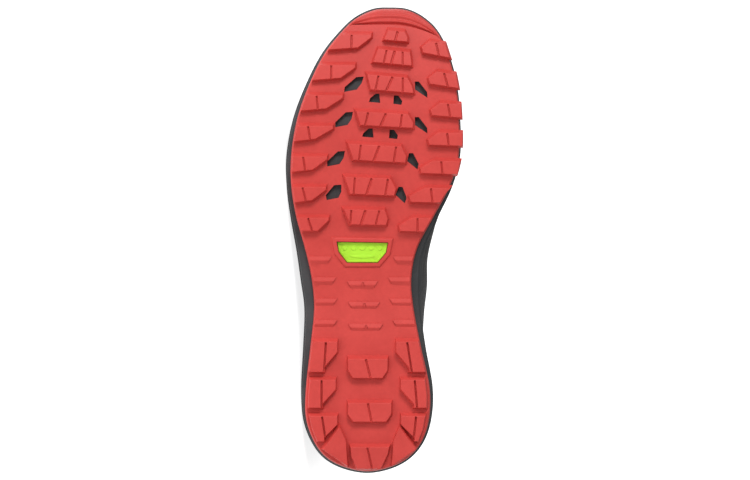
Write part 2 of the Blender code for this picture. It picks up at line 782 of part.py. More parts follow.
def badge_corners():
    return [Vector((x * HEEL_WIDTH, y * LENGTH)) for x, y in BADGE]


def window_blocks():
    """Cutters for the openings through the plate, and for the badge."""
    blocks = []
    sets = (
        (LATERAL_WINDOWS, LATERAL_WINDOW, 1),
        (MEDIAL_WINDOWS, MEDIAL_WINDOW, -1),
        (LATERAL_SMALL_WINDOWS, LATERAL_SMALL_WINDOW, 1),
        (MEDIAL_SMALL_WINDOWS, MEDIAL_SMALL_WINDOW, -1),
    )
    outlines = [badge_corners()]
    for windows, shape, sign in sets:
        for window in windows:
            corners = [
                (window.across + across - window.lean * along, window.along + along) for across, along in shape
            ]
            outlines.append([Vector((sign * x * BALL_WIDTH, y * LENGTH)) for x, y in corners])
    for corners in outlines:
        lower = [Vector((c.x, c.y, tread(c.y) - LUG_HEIGHT)) for c in corners]
        upper = [Vector((c.x, c.y, plate_over(c.y) + LUG_ROOT)) for c in corners]
        blocks.append((lower, upper))
    return blocks


def boolean(target, cutter, operation):
    made = target.modifiers.new(operation.lower(), "BOOLEAN")
    made.operation = operation
    made.solver = "EXACT"
    made.object = cutter


def make_outsole(parts, cutters):
    rings = [ring_of(lambda place, s=s, r=r: outer_wall(place, s, r)) for s, r in RUBBER_SIDE]
    rings += [ring_of(lambda place, s=s: inner_wall(place, s)) for s in (1.0, 0.5, 0.0)]
    points, faces = stack(rings)
    outsole = mesh_object("outsole", points, faces, parts, material("red_rubber", RED_RUBBER, 0.55))
    blocks = forefoot_edge_blocks() + forefoot_centre_blocks() + heel_blocks() + waist_blocks()
    boolean(outsole, prisms("tread_blocks", blocks, cutters), "UNION")
    boolean(outsole, prisms("plate_windows", window_blocks(), cutters), "DIFFERENCE")
    return outsole


def make_badge(parts):
    """Plain lime insert that fills the window in the waist, just below its rim."""
    corners = grown(badge_corners(), -GAP)
    over = [Vector((c.x, c.y, plate_over(c.y))) for c in corners]
    under = [point - Vector((0, 0, BADGE_THICKNESS)) for point in over]
    count = len(corners)
    faces = [tuple(range(count)), tuple(range(count, 2 * count))]
    for step in range(count):
        after = (step + 1) % count
        faces.append((step, after, count + after, count + step))
    return mesh_object("badge_insert", over + under, faces, parts, material("lime_rubber", LIME_RUBBER, 0.45))


def midsole_side(place, share, proud):
    """Side of the midsole: share runs from the top of the rubber up to the lip."""
    low = inner_wall(place, 1.0).z + GAP
    lip = skin(place, LIP_LEVEL, GAP + MIDSOLE_LIP)
    flare = around(place, lambda s: Vector((s.flare, 0, 0))).x
    wide = edge(place, flare + proud)
    blend = smoothstep(share, SIDE_TURN, 1.0)
    point = wide.lerp(Vector((lip.x, lip.y, 0)), blend)
    point.z = low + (lip.z - low) * share
    return point


def make_midsole(parts):
    inset = GAP
    rings = [ring_of(lambda place: inner_wall(place, 0.0, inset) + Vector((0, 0, GAP)))]
    rings.append(ring_of(lambda place: inner_wall(place, 0.5, inset) + Vector((0, 0, GAP))))
    rings.append(ring_of(lambda place: inner_wall(place, 1.0, inset) + Vector((0, 0, GAP))))
    for share, proud in MIDSOLE_SIDE:
        rings.append(ring_of(lambda place, s=share, p=proud: midsole_side(place, s, p * SIDE_GROOVE)))
    for level in (LIP_LEVEL, 0.0):
        rings.append(ring_of(lambda place, t=level: skin(place, t, GAP)))
    rings.append(ring_of(lambda place: skin(place, 0.0, GAP) - Vector((0, 0, GAP))))
    points, faces = stack(rings, backward=len(rings) - 3)
    return mesh_object("midsole", points, faces, parts, material("grey_foam", GREY_FOAM, 0.75))


def wall_at(place, level):
    """Thickness of the upper: one wall, with the collar padded on its inside."""
    row = place if place <= LAST_ROW else STATIONS - place
    collar = 1 - smoothstep(row, 6.5, 9.2)
    roll = smoothstep(level, 0.42, 0.72) * (1 - 0.45 * smoothstep(level, 0.90, 1.0))
    return UPPER_WALL + COLLAR_PAD * collar * roll


def make_eyelet_cutter(collection):
    blocks = []
    reach = 3 * (UPPER_WALL + OVERLAY)
    for side in ("lateral", "medial"):
        for row in EYELET_ROWS:
            place = row_place(side, row)
            middle = skin(place, EYELET_LEVEL)
            normal = (skin(place, EYELET_LEVEL, reach) - middle).normalized()
            frame = normal.to_track_quat("Z", "Y").to_matrix()
            ends = []
            for height in (-reach, reach):
                angles = [2 * math.pi * n / EYELET_SIDES for n in range(EYELET_SIDES)]
                circle = [Vector((math.cos(a), math.sin(a), 0)) * EYELET_RADIUS for a in angles]
                ends.append([middle + frame @ (point + Vector((0, 0, height))) for point in circle])
            blocks.append(tuple(ends))
    return prisms("eyelet_holes", blocks, collection)


def make_upper(parts, eyelets):
    outer = [ring_of(lambda place, t=t: skin(place, t)) for t in LEVELS]
    inner = [ring_of(lambda place, t=t: skin(place, t, -wall_at(place, t))) for t in LEVELS]
    points, faces = slab(outer, inner, closed=True)
    upper = mesh_object("upper", points, faces, parts, material("black_mesh", BLACK_MESH, 0.85))
    boolean(upper, eyelets, "DIFFERENCE")
    return upper


def make_insole(parts):
    """Removable insole, cupped at its edge, that lies on the midsole inside the upper."""
    clear = UPPER_WALL + GAP

    def beside_wall(place, share, inset):
        return skin(place, 0.0, -inset).lerp(skin(place, LIP_LEVEL, -inset), share)

    def bed(place):
        point = skin(place, 0.0, -clear - INSOLE_CUP_WIDTH)
        point.z = footbed(point.y) + GAP + INSOLE_THICKNESS
        return point

    rings = [ring_of(lambda place: beside_wall(place, 0.0, clear))]
    rings.append(ring_of(lambda place: beside_wall(place, INSOLE_CUP, clear)))
    rings.append(ring_of(lambda place: beside_wall(place, INSOLE_CUP, clear + 4 * GAP)))
    rings.append(ring_of(bed))
    points, faces = stack(rings, forward=0)
    return mesh_object("insole", points, faces, parts, material("grey_textile", GREY_INSOLE, 0.9))


def places_between(start, end, count):
    return [start + (end - start) * n / count for n in range(count + 1)]


def cut_overlay(name, outline, parts, cutters, film):
    """Overlay cut by its side view from a shell that lies on the upper's own surface."""
    levels = [OVERLAY_FOOT] + [level for level in LEVELS if OVERLAY_FOOT < level < 0.9]
    sheets = [[ring_of(lambda p, t=t: skin(p, t, off)) for t in levels] for off in (GAP + OVERLAY, GAP)]
    overlay = mesh_object(name, *slab(*sheets, closed=True), parts, film)
    sides = []
    for across in (-BALL_WIDTH, BALL_WIDTH):
        sides.append([Vector((across, y * LENGTH, z * TAB_HEIGHT)) for y, z in outline])
    boolean(overlay, prisms(name + "_shape", [tuple(sides)], cutters), "INTERSECT")


def make_overlays(parts, cutters, eyelets):
    film = material("black_film", BLACK_FILM, 0.5)
    cut_overlay("toe_rand", TOE_RAND, parts, cutters, film)
    cut_overlay("heel_counter", HEEL_COUNTER, parts, cutters, film)
    count = round(2 * (LAST_ROW - EYESTAY_START) * PER_GAP)
    places = places_between(EYESTAY_START, STATIONS - EYESTAY_START, count)
    sheets = [[[skin(p, t, off) for p in places] for t in EYESTAY_LEVELS] for off in (GAP + OVERLAY, GAP)]
    eyestay = mesh_object("eyestay", *slab(*sheets), parts, film)
    boolean(eyestay, eyelets, "DIFFERENCE")


def tongue_line(row, depth):
    """Points across the tongue at a row, at a depth below the upper's outer surface."""
    lateral, medial = row_place("lateral", row), row_place("medial", row)
    under = TONGUE_MARGIN * smoothstep(row, 10.0, 12.0)
    line = [skin(lateral, 1 - under, -depth), skin(lateral, 1 - 0.5 * under, -depth)]
    start, end = skin(lateral, 1.0, -depth), skin(medial, 1.0, -depth)
    width = min(1.0, (end - start).length / COLLAR_WIDTH * 2)
    for share in (0.0, 0.2, 0.4, 0.6, 0.8, 1.0):
        crown = 4 * share * (1 - share) * TONGUE_CROWN * width
        line.append(start.lerp(end, share) + Vector((0, 0.25, 1)) * crown)
    line += [skin(medial, 1 - 0.5 * under, -depth), skin(medial, 1 - under, -depth)]
    return line


def free_tongue_lines(base, middle):
    """Lines of the tongue above the top eyelets: the base line carried up and turned."""
    lines = []
    place = middle.copy()
    start = TONGUE_PATH[0].lean
    for step in TONGUE_PATH:
        lean = math.radians(step.lean)
        place = place + Vector((0, -math.cos(lean), math.sin(lean))) * (step.length * TAB_HEIGHT)
        turn = Matrix.Rotation(math.radians(start - step.lean), 3, "X")
        line = []
        for point in base:
            across = point - middle
            across.x *= step.width
            line.append(place + turn @ across)
        lines.append(line)
    return lines


def make_tongue(parts):
    """Padded tongue under the throat, with its free end standing up behind the laces."""
    top = UPPER_WALL + 2 * GAP
    middle = sum(tongue_line(TONGUE_ROWS[-1], top), Vector()) / 10
    sheets = []
    for depth in (top, top + TONGUE_THICKNESS):
        fan = places_between(TONGUE_ROWS[0] + 0.3, STATIONS - TONGUE_ROWS[0] - 0.3, 9)
        sheet = [[skin(place, 1 - TONGUE_MARGIN, -depth - TONGUE_TUCK) for place in fan]]
        sheet.append(tongue_line(TONGUE_ROWS[0], depth + TONGUE_TUCK))
        sheet += [tongue_line(row, depth) for row in TONGUE_ROWS[1:]]
        sheet += free_tongue_lines(sheet[-1], middle)
        sheets.append(sheet)
    points, faces = slab(*sheets)
    return mesh_object("tongue", points, faces, parts, material("black_pad", BLACK_MESH, 0.9))


def crossing(start_side, start_row, end_side, end_row, lift):
    """Lace from one eyelet up over the edge of the throat and across to another."""
    height = 2 * GAP + OVERLAY + LACE_RADIUS
    near, far = [], []
    for share, level in ((0.0, EYELET_LEVEL), (0.10, 0.95), (0.20, 1.0)):
        near.append(skin(row_place(start_side, start_row + (end_row - start_row) * share), level, height))
        far.append(skin(row_place(end_side, end_row + (start_row - end_row) * share), level, height))
    middle = []
    for share in (0.3, 0.7):
        crown = 4 * share * (1 - share) * lift
        middle.append(near[-1].lerp(far[-1], share) + Vector((0, 0.2, 1)) * crown)
    return near + middle + far[::-1]


def lace_path(first_side):
    """Zigzag of a lace across the throat, from the lowest eyelets to the highest."""
    side, other = first_side, "medial" if first_side == "lateral" else "lateral"
    path = []
    rows = list(reversed(EYELET_ROWS))
    for row, following in zip(rows, rows[1:]):
        path = path[:-1] + crossing(side, row, other, following, LACE_LIFT)
        side, other = other, side
    return path


def tube(name, path, radius, collection):
    """Round cord as a closed mesh along a path."""
    data = bpy.data.curves.new(name, "CURVE")
    data.dimensions = "3D"
    data.bevel_depth = radius
    data.bevel_resolution = 1
    data.use_fill_caps = True
    spline = data.splines.new("POLY")
    spline.points.add(len(path) - 1)
    for point, place in zip(spline.points, path):
        point.co = (*place, 1)
    cord = bpy.data.objects.new(name + "_line", data)
    collection.objects.link(cord)
    bpy.context.view_layer.update()
    graph = bpy.context.evaluated_depsgraph_get()
    mesh = bpy.data.meshes.new_from_object(cord.evaluated_get(graph))
    bpy.data.objects.remove(cord)
    shape = bmesh.new()
    shape.from_mesh(mesh)
    bmesh.ops.remove_doubles(shape, verts=shape.verts, dist=1e-6)
    bmesh.ops.recalc_face_normals(shape, faces=shape.faces)
    shape.to_mesh(mesh)
    shape.free()
    made = bpy.data.objects.new(name, mesh)
    collection.objects.link(made)
    return made


def make_laces(parts, cutters):
    """The lace's crossings as one solid: two zigzags and the bar that joins them."""
    laces = tube("laces", lace_path("lateral"), LACE_RADIUS, parts)
    other = tube("lace_return", lace_path("medial"), LACE_RADIUS, cutters)
    low = EYELET_ROWS[-1]
    bar_path = crossing("lateral", low, "medial", low, 0.6 * LACE_LIFT)
    bar = tube("lace_bar", bar_path, LACE_RADIUS * 0.97, cutters)
    for helper in (other, bar):
        helper.hide_render = True
        helper.display_type = "WIRE"
        boolean(laces, helper, "UNION")
    laces.data.materials.clear()
    laces.data.materials.append(material("grey_cord", GREY_LACE, 0.8))
    return laces


def solid_points(parts):
    """Points and mass centre of the built pieces, in the shoe's own frame."""
    densities = {"outsole": RUBBER_DENSITY, "badge_insert": RUBBER_DENSITY, "midsole": FOAM_DENSITY}
    bpy.context.view_layer.update()
    graph = bpy.context.evaluated_depsgraph_get()
    points, mass, moment = [], 0.0, Vector()
    for piece in parts.objects:
        if piece.type == "EMPTY":
            continue
        mesh = piece.evaluated_get(graph).to_mesh()
        mesh.calc_loop_triangles()
        places = [vertex.co.copy() for vertex in mesh.vertices]
        points += places
        density = densities.get(piece.name, FABRIC_DENSITY)
        for triangle in mesh.loop_triangles:
            a, b, c = (places[index] for index in triangle.vertices)
            part = a.dot(b.cross(c)) / 6 * density
            mass += part
            moment += (a + b + c) / 4 * part
    return points, moment / mass


def outer_side_face(points, centre):
    """Normal of the hull's face that the shoe rests on when it lies on its outer side."""
    hull = bmesh.new()
    for point in points:
        hull.verts.new(point)
    made = bmesh.ops.convex_hull(hull, input=hull.verts)
    faces = [f for f in made["geom"] if isinstance(f, bmesh.types.BMFace)]
    resting = []
    for face in faces:
        normal = face.normal.copy()
        corner = face.verts[0].co
        if normal.dot(corner - centre) < 0:
            normal.negate()
        if normal.x < 0.8:
            continue
        height = normal.dot(corner - centre)
        foot = centre + normal * height
        corners = [vertex.co for vertex in face.verts]
        sides = [
            (corners[(n + 1) % len(corners)] - corners[n]).cross(foot - corners[n]).dot(face.normal)
            for n in range(len(corners))
        ]
        if all(side >= 0 for side in sides) or all(side <= 0 for side in sides):
            resting.append((height, tuple(normal)))
    hull.free()
    return Vector(min(resting)[1])


def lay_down(parts, cutters):
    """Turns the shoe onto its outer side, with the middle of its base at the origin."""
    points, centre = solid_points(parts)
    up = -outer_side_face(points, centre)
    toe = Vector((0, 1, 0))
    heelward = -(toe - up * toe.dot(up)).normalized()
    turn = Matrix((heelward, up.cross(heelward), up))
    placed = [turn @ point for point in points]
    low = Vector([min(point[axis] for point in placed) for axis in range(3)])
    high = Vector([max(point[axis] for point in placed) for axis in range(3)])
    shoe = bpy.data.objects.new("lying_shoe", None)
    shoe.rotation_mode = "QUATERNION"
    shoe.rotation_quaternion = turn.to_quaternion()
    shoe.location = (-(low.x + high.x) / 2, -(low.y + high.y) / 2, -low.z)
    for piece in [*parts.objects, *cutters.objects]:
        piece.parent = shoe
    parts.objects.link(shoe)


def main():
    for old in list(bpy.data.objects):
        bpy.data.objects.remove(old)
    parts = bpy.data.collections.new("trail_running_shoe")
    cutters = bpy.data.collections.new("cutters")
    for collection in (parts, cutters):
        bpy.context.scene.collection.children.link(collection)
    make_outsole(parts, cutters)
    make_badge(parts)
    make_midsole(parts)
    eyelets = make_eyelet_cutter(cutters)
    make_upper(parts, eyelets)
    make_insole(parts)
    make_overlays(parts, cutters, eyelets)
    make_tongue(parts)
    make_laces(parts, cutters)
    lay_down(parts, cutters)


main()
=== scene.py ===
"""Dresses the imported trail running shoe: rubber tread, foam, textile upper, tongue and laces.

The shoe is modelled in its own frame, +Y from heel to toe, +X to the outer side and +Z up from
the lugs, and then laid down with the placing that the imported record's two mounts give.
"""

import json
import logging
import math
from dataclasses import dataclass, field
from enum import Enum
from typing import Callable, Sequence

import bmesh
import bpy
import numpy as np
from mathutils import Matrix, Vector


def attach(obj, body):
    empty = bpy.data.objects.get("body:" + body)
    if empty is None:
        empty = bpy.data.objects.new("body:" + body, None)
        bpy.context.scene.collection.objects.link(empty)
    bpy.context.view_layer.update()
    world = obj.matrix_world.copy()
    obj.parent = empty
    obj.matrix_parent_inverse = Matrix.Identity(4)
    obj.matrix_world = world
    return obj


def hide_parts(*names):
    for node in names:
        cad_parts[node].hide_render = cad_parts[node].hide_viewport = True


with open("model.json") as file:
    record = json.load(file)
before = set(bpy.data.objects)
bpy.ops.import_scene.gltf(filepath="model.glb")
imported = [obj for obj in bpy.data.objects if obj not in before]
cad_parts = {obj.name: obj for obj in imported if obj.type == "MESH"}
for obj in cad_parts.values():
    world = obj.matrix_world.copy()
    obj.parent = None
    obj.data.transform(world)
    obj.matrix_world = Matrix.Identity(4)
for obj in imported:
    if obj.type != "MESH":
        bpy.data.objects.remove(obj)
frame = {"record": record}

MM = 0.001
BODY = "root"
LOG = logging.getLogger("shoe")
Grid = np.ndarray
Values = Grid | float
Pair = tuple[float, float]
Triple = tuple[float, float, float]
Rows = tuple[tuple[float, ...], ...]
Corners = list[Pair]
Height = Callable[[float], float]
Piece = bpy.types.Object


class Side(Enum):
    """The two sides of the shoe, with the sign of X on each."""

    LATERAL = 1
    MEDIAL = -1


class Coords(Enum):
    """What a pattern is laid out on."""

    OBJECT = "Object"
    UV = "UV"


def ease(value: Values, low: float, high: float) -> Grid:
    """Eases from 0 at low to 1 at high."""
    share = np.clip((np.asarray(value, float) - low) / (high - low), 0.0, 1.0)
    return share * share * (3 - 2 * share)


def band(value: Values, low: float, full: float, falling: float, end: float) -> Grid:
    """Eases up from 0 at low to 1 at full, and back down to 0 between falling and end."""
    return ease(value, low, full) * (1 - ease(value, falling, end))


def bump_at(value: Values, centre: float, width: float) -> Grid:
    """Soft hump of height 1 at centre that fades over width."""
    return np.exp(-(((np.asarray(value, float) - centre) / width) ** 2))


def unit(vectors: Grid) -> Grid:
    """Vectors along the last axis, brought to length 1."""
    return vectors / np.maximum(np.linalg.norm(vectors, axis=-1, keepdims=True), 1e-12)


def curve(start: Values, end: Values, slope: Values, slope_end: Values, share: Values) -> Values:
    """Smooth curve from start to end with a slope at each, read at a share of the way."""
    square, cube = share**2, share**3
    return (
        start * (2 * cube - 3 * square + 1)
        + slope * (cube - 2 * square + share)
        + end * (3 * square - 2 * cube)
        + slope_end * (cube - square)
    )


@dataclass(frozen=True)
class Table:
    """Short table whose first column is a row number, read smoothly between its rows."""

    rows: Rows

    def at(self, row: float, column: int) -> float:
        """Value of a column, counted from 1 after the row number, at a row number."""
        rows = self.rows
        row = min(max(row, rows[0][0]), rows[-1][0])
        upper = next(n for n in range(1, len(rows)) if rows[n][0] >= row)
        low, high = rows[upper - 1], rows[upper]
        before, after = rows[max(upper - 2, 0)], rows[min(upper + 1, len(rows) - 1)]
        width = high[0] - low[0]
        slope = (high[column] - before[column]) / (high[0] - before[0]) * width
        slope_end = (after[column] - low[column]) / (after[0] - low[0]) * width
        return curve(low[column], high[column], slope, slope_end, (row - low[0]) / width)


@dataclass
class Last:
    """The form that every piece of the shoe is read from."""

    length: float = 0.300
    ball_width: float = 0.108
    heel_width: float = 0.081
    collar_width: float = 0.066
    tab_height: float = 0.100
    heel_stack: float = 0.0275
    forefoot_stack: float = 0.0205
    toe_spring: float = 0.0160
    toe_lift: float = 0.50
    heel_bevel: float = 0.0045
    arch_rise: float = 0.0020
    lug_height: float = 0.0045
    plate: float = 0.0030
    edge_roll: float = 0.0012
    rubber_wall: float = 0.0017
    rubber_lip: float = 0.0010
    toe_wrap: float = 0.0125
    toe_line: float = 0.9645
    toe_line_turn: float = -0.13
    toe_line_curve: float = 2.3
    flare: float = 0.0062
    feather_inset: float = 0.0052
    gap: float = 0.0003
    last_row: int = 19
    # Shares of the length: where the toe starts to rise and its part, the heel's part, where the
    # sole widens from heel to ball, where the waist arches up and down, where the stack sinks
    toe_from: float = 0.67
    toe_part: float = 0.33
    heel_part: float = 0.10
    widening: Pair = (0.30, 0.62)
    arch: tuple[float, ...] = (0.28, 0.38, 0.44, 0.54)
    sinking: Pair = (0.20, 0.72)
    toe_band: float = 0.030
    heel_mount: float = 0.243
    mount_inset: float = 0.0205
    # Along, outer edge, inner edge
    outline: tuple[Triple, ...] = (
        (0.000, 0.000, 0.000), (0.010, 0.191, 0.191), (0.033, 0.340, 0.340), (0.070, 0.437, 0.444),
        (0.120, 0.494, 0.496), (0.183, 0.491, 0.496), (0.267, 0.457, 0.430), (0.350, 0.418, 0.362),
        (0.417, 0.406, 0.319), (0.483, 0.417, 0.333), (0.550, 0.441, 0.411), (0.617, 0.457, 0.496),
        (0.683, 0.457, 0.548), (0.760, 0.422, 0.550), (0.833, 0.352, 0.531), (0.900, 0.261, 0.483),
        (0.950, 0.153, 0.417), (0.980, 0.063, 0.333), (0.997, -0.037, 0.236), (1.000, -0.130, 0.130),
    )
    # Row, outer side, inner side
    flares: Table = Table((
        (0, 0.05, 0.05), (4, 0.20, 0.10), (6, 0.60, 0.32), (8, 1.00, 0.74),
        (10, 0.45, 0.26), (12, 0.35, 0.00), (15, 0.10, 0.00), (19, 0.00, 0.00),
    ))
    # Row, outer side, inner side, along, height
    topline: Table = Table((
        (0, 0.000, 0.000, 0.028, 1.000), (2, 0.226, 0.226, 0.042, 0.972), (4, 0.435, 0.435, 0.103, 0.876),
        (6, 0.500, 0.500, 0.227, 0.806), (8, 0.452, 0.460, 0.347, 0.872), (10, 0.340, 0.360, 0.447, 0.955),
        (12, 0.266, 0.298, 0.550, 0.880), (14, 0.194, 0.298, 0.633, 0.794), (16, 0.065, 0.266, 0.685, 0.741),
        (18, -0.056, 0.137, 0.705, 0.722), (19, -0.097, 0.097, 0.707, 0.721),
    ))
    # Row, outer bulge, inner bulge, rise, spread, drop
    bends: Table = Table((
        (0, 0.065, 0.065, 0.30, -0.055, 0.24), (2, 0.046, 0.046, 0.29, -0.018, 0.23),
        (4, 0.010, 0.050, 0.26, 0.022, 0.21), (6, -0.010, 0.088, 0.24, 0.032, 0.21),
        (8, -0.008, 0.222, 0.25, 0.075, 0.22), (10, 0.014, 0.150, 0.27, 0.160, 0.21),
        (12, 0.024, 0.024, 0.24, 0.213, 0.15), (14, 0.024, 0.024, 0.25, 0.278, 0.12),
        (16, 0.026, 0.026, 0.27, 0.390, 0.10), (19, 0.028, 0.028, 0.28, 0.460, 0.10),
    ))

    def __post_init__(self) -> None:
        """Works out the stations round the shoe once."""
        self.stations = 2 * self.last_row
        rows = [min(n, self.stations - n) for n in range(self.stations)]
        lateral = [n <= self.last_row for n in range(self.stations)]
        self.edges = np.zeros((self.stations, 3))
        for n, row in enumerate(rows):
            along, outer, inner = self.outline[row]
            reach = outer if lateral[n] else -inner
            self.edges[n] = reach * self.breadth(along), along * self.length, 0.0
        way = unit(np.roll(self.edges, -1, 0) - np.roll(self.edges, 1, 0))
        self.normals = np.stack([way[:, 1], -way[:, 0], np.zeros(self.stations)], 1)
        self.flare_at = np.zeros(self.stations)
        self.curves = np.zeros((self.stations, 4, 3))
        for n, row in enumerate(rows):
            column = 1 if lateral[n] else 2
            self.flare_at[n] = self.flares.at(row, column) * self.flare
            foot = self.edges[n] + self.normals[n] * (self.flare_at[n] - self.feather_inset)
            foot[2] = self.footbed(foot[1]) + self.gap
            top = np.array([
                (1 if lateral[n] else -1) * self.topline.at(row, column) * self.collar_width,
                self.topline.at(row, 3) * self.length,
                self.topline.at(row, 4) * self.tab_height,
            ])
            reach = unit(np.array([foot[0] - top[0], foot[1] - top[1], 0.0]))
            up = np.array([0.0, 0.0, self.tab_height])
            lower = foot + self.normals[n] * self.bends.at(row, column) * self.ball_width
            lower = lower + up * self.bends.at(row, 3)
            upper = top + reach * self.bends.at(row, 4) * self.ball_width - up * self.bends.at(row, 5)
            self.curves[n] = foot, lower, upper, top

    def breadth(self, along: Values) -> Grid:
        """Breadth that the outline's shares refer to: the heel's, then the ball's."""
        return self.heel_width + (self.ball_width - self.heel_width) * ease(along, *self.widening)

    def plan(self, corners: Rows) -> Corners:
        """Corners given in shares of the heel's width and of the length, brought to metres."""
        return [(x * self.heel_width, y * self.length) for x, y in corners]

    def past_ball(self, y: Values) -> Grid:
        """Share of the way from where the toe starts to rise to its tip."""
        return np.maximum(0.0, (np.asarray(y, float) / self.length - self.toe_from) / self.toe_part)

    def tread(self, y: Values) -> Grid:
        """Height of the lugs' ground faces at a length."""
        toe = self.past_ball(y)
        heel = np.maximum(0.0, (self.heel_part - np.asarray(y, float) / self.length) / self.heel_part)
        return self.toe_spring * toe * toe + self.heel_bevel * heel * heel

    def plate_under(self, y: Values) -> Grid:
        """Height of the plate's underside between the lugs, arched in the waist."""
        arch = band(np.asarray(y, float) / self.length, *self.arch)
        return self.tread(y) + self.lug_height + self.arch_rise * arch

    def footbed(self, y: Values) -> Grid:
        """Height of the midsole's top, under the insole."""
        toe = self.past_ball(y)
        sunk = 1 - ease(np.asarray(y, float) / self.length, *self.sinking)
        drop = (self.heel_stack - self.forefoot_stack) * sunk
        return self.forefoot_stack + drop + self.toe_lift * self.toe_spring * toe * toe

    def around(self, place: Values, values: Grid) -> Grid:
        """Smooth closed curve through one value of every station, read at a place or places."""
        place = np.asarray(place, float)
        first = np.floor(place).astype(int)
        share = (place - first).reshape(place.shape + (1,) * (values.ndim - 1))
        a, b, c, d = (values[(first + step) % self.stations] for step in (-1, 0, 1, 2))
        return curve(b, c, (c - a) * 0.5, (d - b) * 0.5, share)

    def _surface(self, place: Grid, level: Grid) -> Grid:
        """Points of the upper at places and levels of the same shape."""
        foot, lower, upper, top = np.moveaxis(self.around(place, self.curves), -2, 0)
        level = level[..., None]
        rest = 1 - level
        return (
            foot * rest**3
            + lower * 3 * rest * rest * level
            + upper * 3 * rest * level * level
            + top * level**3
        )

    def normal(self, place: Values, level: Values) -> Grid:
        """Outward direction of the upper's surface at places and levels."""
        place, level = np.broadcast_arrays(np.asarray(place, float), np.asarray(level, float))
        low, high = np.maximum(level - 0.02, 0.0), np.minimum(level + 0.02, 1.0)
        along = self._surface(place + 0.02, level) - self._surface(place - 0.02, level)
        up = self._surface(place, high) - self._surface(place, low)
        return unit(np.cross(along, up))

    def skin(self, place: Values, level: Values, offset: Values = 0.0) -> Grid:
        """Outer surface of the upper, moved outwards.

        Args:
            place: place or places round the shoe.
            level: 0 at the foot of the upper to 1 at its top edge.
            offset: how far out along the normal, in metres.

        Returns:
            The points, one for each place and level.
        """
        place, level, offset = np.broadcast_arrays(
            np.asarray(place, float), np.asarray(level, float), np.asarray(offset, float)
        )
        return self._surface(place, level) + self.normal(place, level) * offset[..., None]

    def edge(self, place: Values, offset: Values = 0.0) -> Grid:
        """Point of the sole's outline in plan, moved outwards by offset."""
        offset = np.broadcast_to(np.asarray(offset, float), np.shape(place))[..., None]
        return self.around(place, self.edges) + self.around(place, self.normals) * offset

    def toe_front(self, x: Grid) -> Grid:
        """Length at which the tread ends in front, at a distance from the axis."""
        inner = np.minimum(np.asarray(x) - self.toe_line_turn * self.ball_width, 0.0) / self.length
        return (self.toe_line - self.toe_line_curve * inner * inner) * self.length

    def tread_edge(self, place: Values, inset: Values) -> Grid:
        """Edge of the flat tread: the outline moved in, and cut off at the toe line."""
        point = self.edge(place, -np.asarray(inset, float))
        point[..., 1] = np.minimum(point[..., 1], self.toe_front(point[..., 0]))
        return point

    def rolled(self, place: Values) -> Grid:
        """How far the outline is from the edge of the flat tread."""
        return np.linalg.norm(self.edge(place) - self.tread_edge(place, 0.0), axis=-1)

    def toe_share(self, place: Values) -> Grid:
        """0 along the sides, rising to 1 where the bumper wraps the toe."""
        return ease(self.rolled(place), 0.0, self.toe_band * self.length)

    def wrap_height(self, place: Values) -> Grid:
        """Height of the rubber's outer edge above the underside of the plate."""
        low = self.plate + self.rubber_lip
        return low + (self.toe_wrap - low) * self.toe_share(place)

    @staticmethod
    def _rounded(start: Grid, end: Grid, foot: Grid, rise: Grid, share: float) -> Grid:
        """Quarter turn from start to end in plan that rises over a foot's height."""
        turn = share * math.pi / 2
        point = start + (end - start) * math.sin(turn)
        point[..., 2] = foot + rise * (1 - math.cos(turn))
        return point

    def outer_wall(self, place: Grid, share: float) -> Grid:
        """Outer surface of the rubber, from the tread's edge at share 0 up to its top at 1."""
        start = self.tread_edge(place, self.edge_roll)
        foot = self.plate_under(start[..., 1])
        return self._rounded(start, self.edge(place), foot, self.wrap_height(place), share)

    def inner_wall(self, place: Grid, share: float, inset: float = 0.0) -> Grid:
        """Inner surface of the rubber, from the top of the plate at share 0 up to its top."""
        start = self.tread_edge(place, self.rubber_wall + inset)
        end = self.edge(place, -self.rubber_wall - inset)
        foot = self.plate_under(start[..., 1]) + self.plate
        return self._rounded(start, end, foot, self.wrap_height(place) - self.plate, share)

    def place_of(self, side: Side, row: Values) -> Grid:
        """Place round the shoe of a row on one side."""
        return np.asarray(row, float) if side is Side.LATERAL else self.stations - np.asarray(row, float)

    def row_of(self, place: Values) -> Grid:
        """Row of a place round the shoe, 0 at the heel to the last at the toe."""
        place = np.mod(np.asarray(place, float), self.stations)
        return np.minimum(place, self.stations - place)

    def ring_places(self, along: int, across: int) -> Grid:
        """Places round the shoe that have the two ends of the toe line among them.

        Args:
            along: how many steps go from the heel to the toe line, on each side.
            across: how many steps go round the toe between them.

        Returns:
            The places, from 0 at the heel back to it.
        """
        rows = np.linspace(self.last_row * 0.5, self.last_row, 4000)
        ends = []
        for side in Side:
            places = self.place_of(side, rows)
            points = self.edge(places)
            ends.append(float(places[np.argmax(points[:, 1] >= self.toe_front(points[:, 0]))]))
        outer = np.linspace(0.0, ends[0], along + 1)
        toe = np.linspace(ends[0], ends[1], across + 1)
        inner = np.linspace(ends[1], self.stations, along + 1)
        return np.concatenate([outer, toe[1:], inner[1:]])

    def edge_x(self, side: Side, y: float, offset: float) -> float:
        """Distance from the axis to the sole's edge on one side at a length, moved outwards."""
        rows = np.linspace(0.0, self.last_row, 3000)
        places = self.place_of(side, rows)
        index = int(np.searchsorted(self.edge(places)[:, 1], y))
        return abs(float(self.edge(places[min(index, 2999)], offset)[0]))


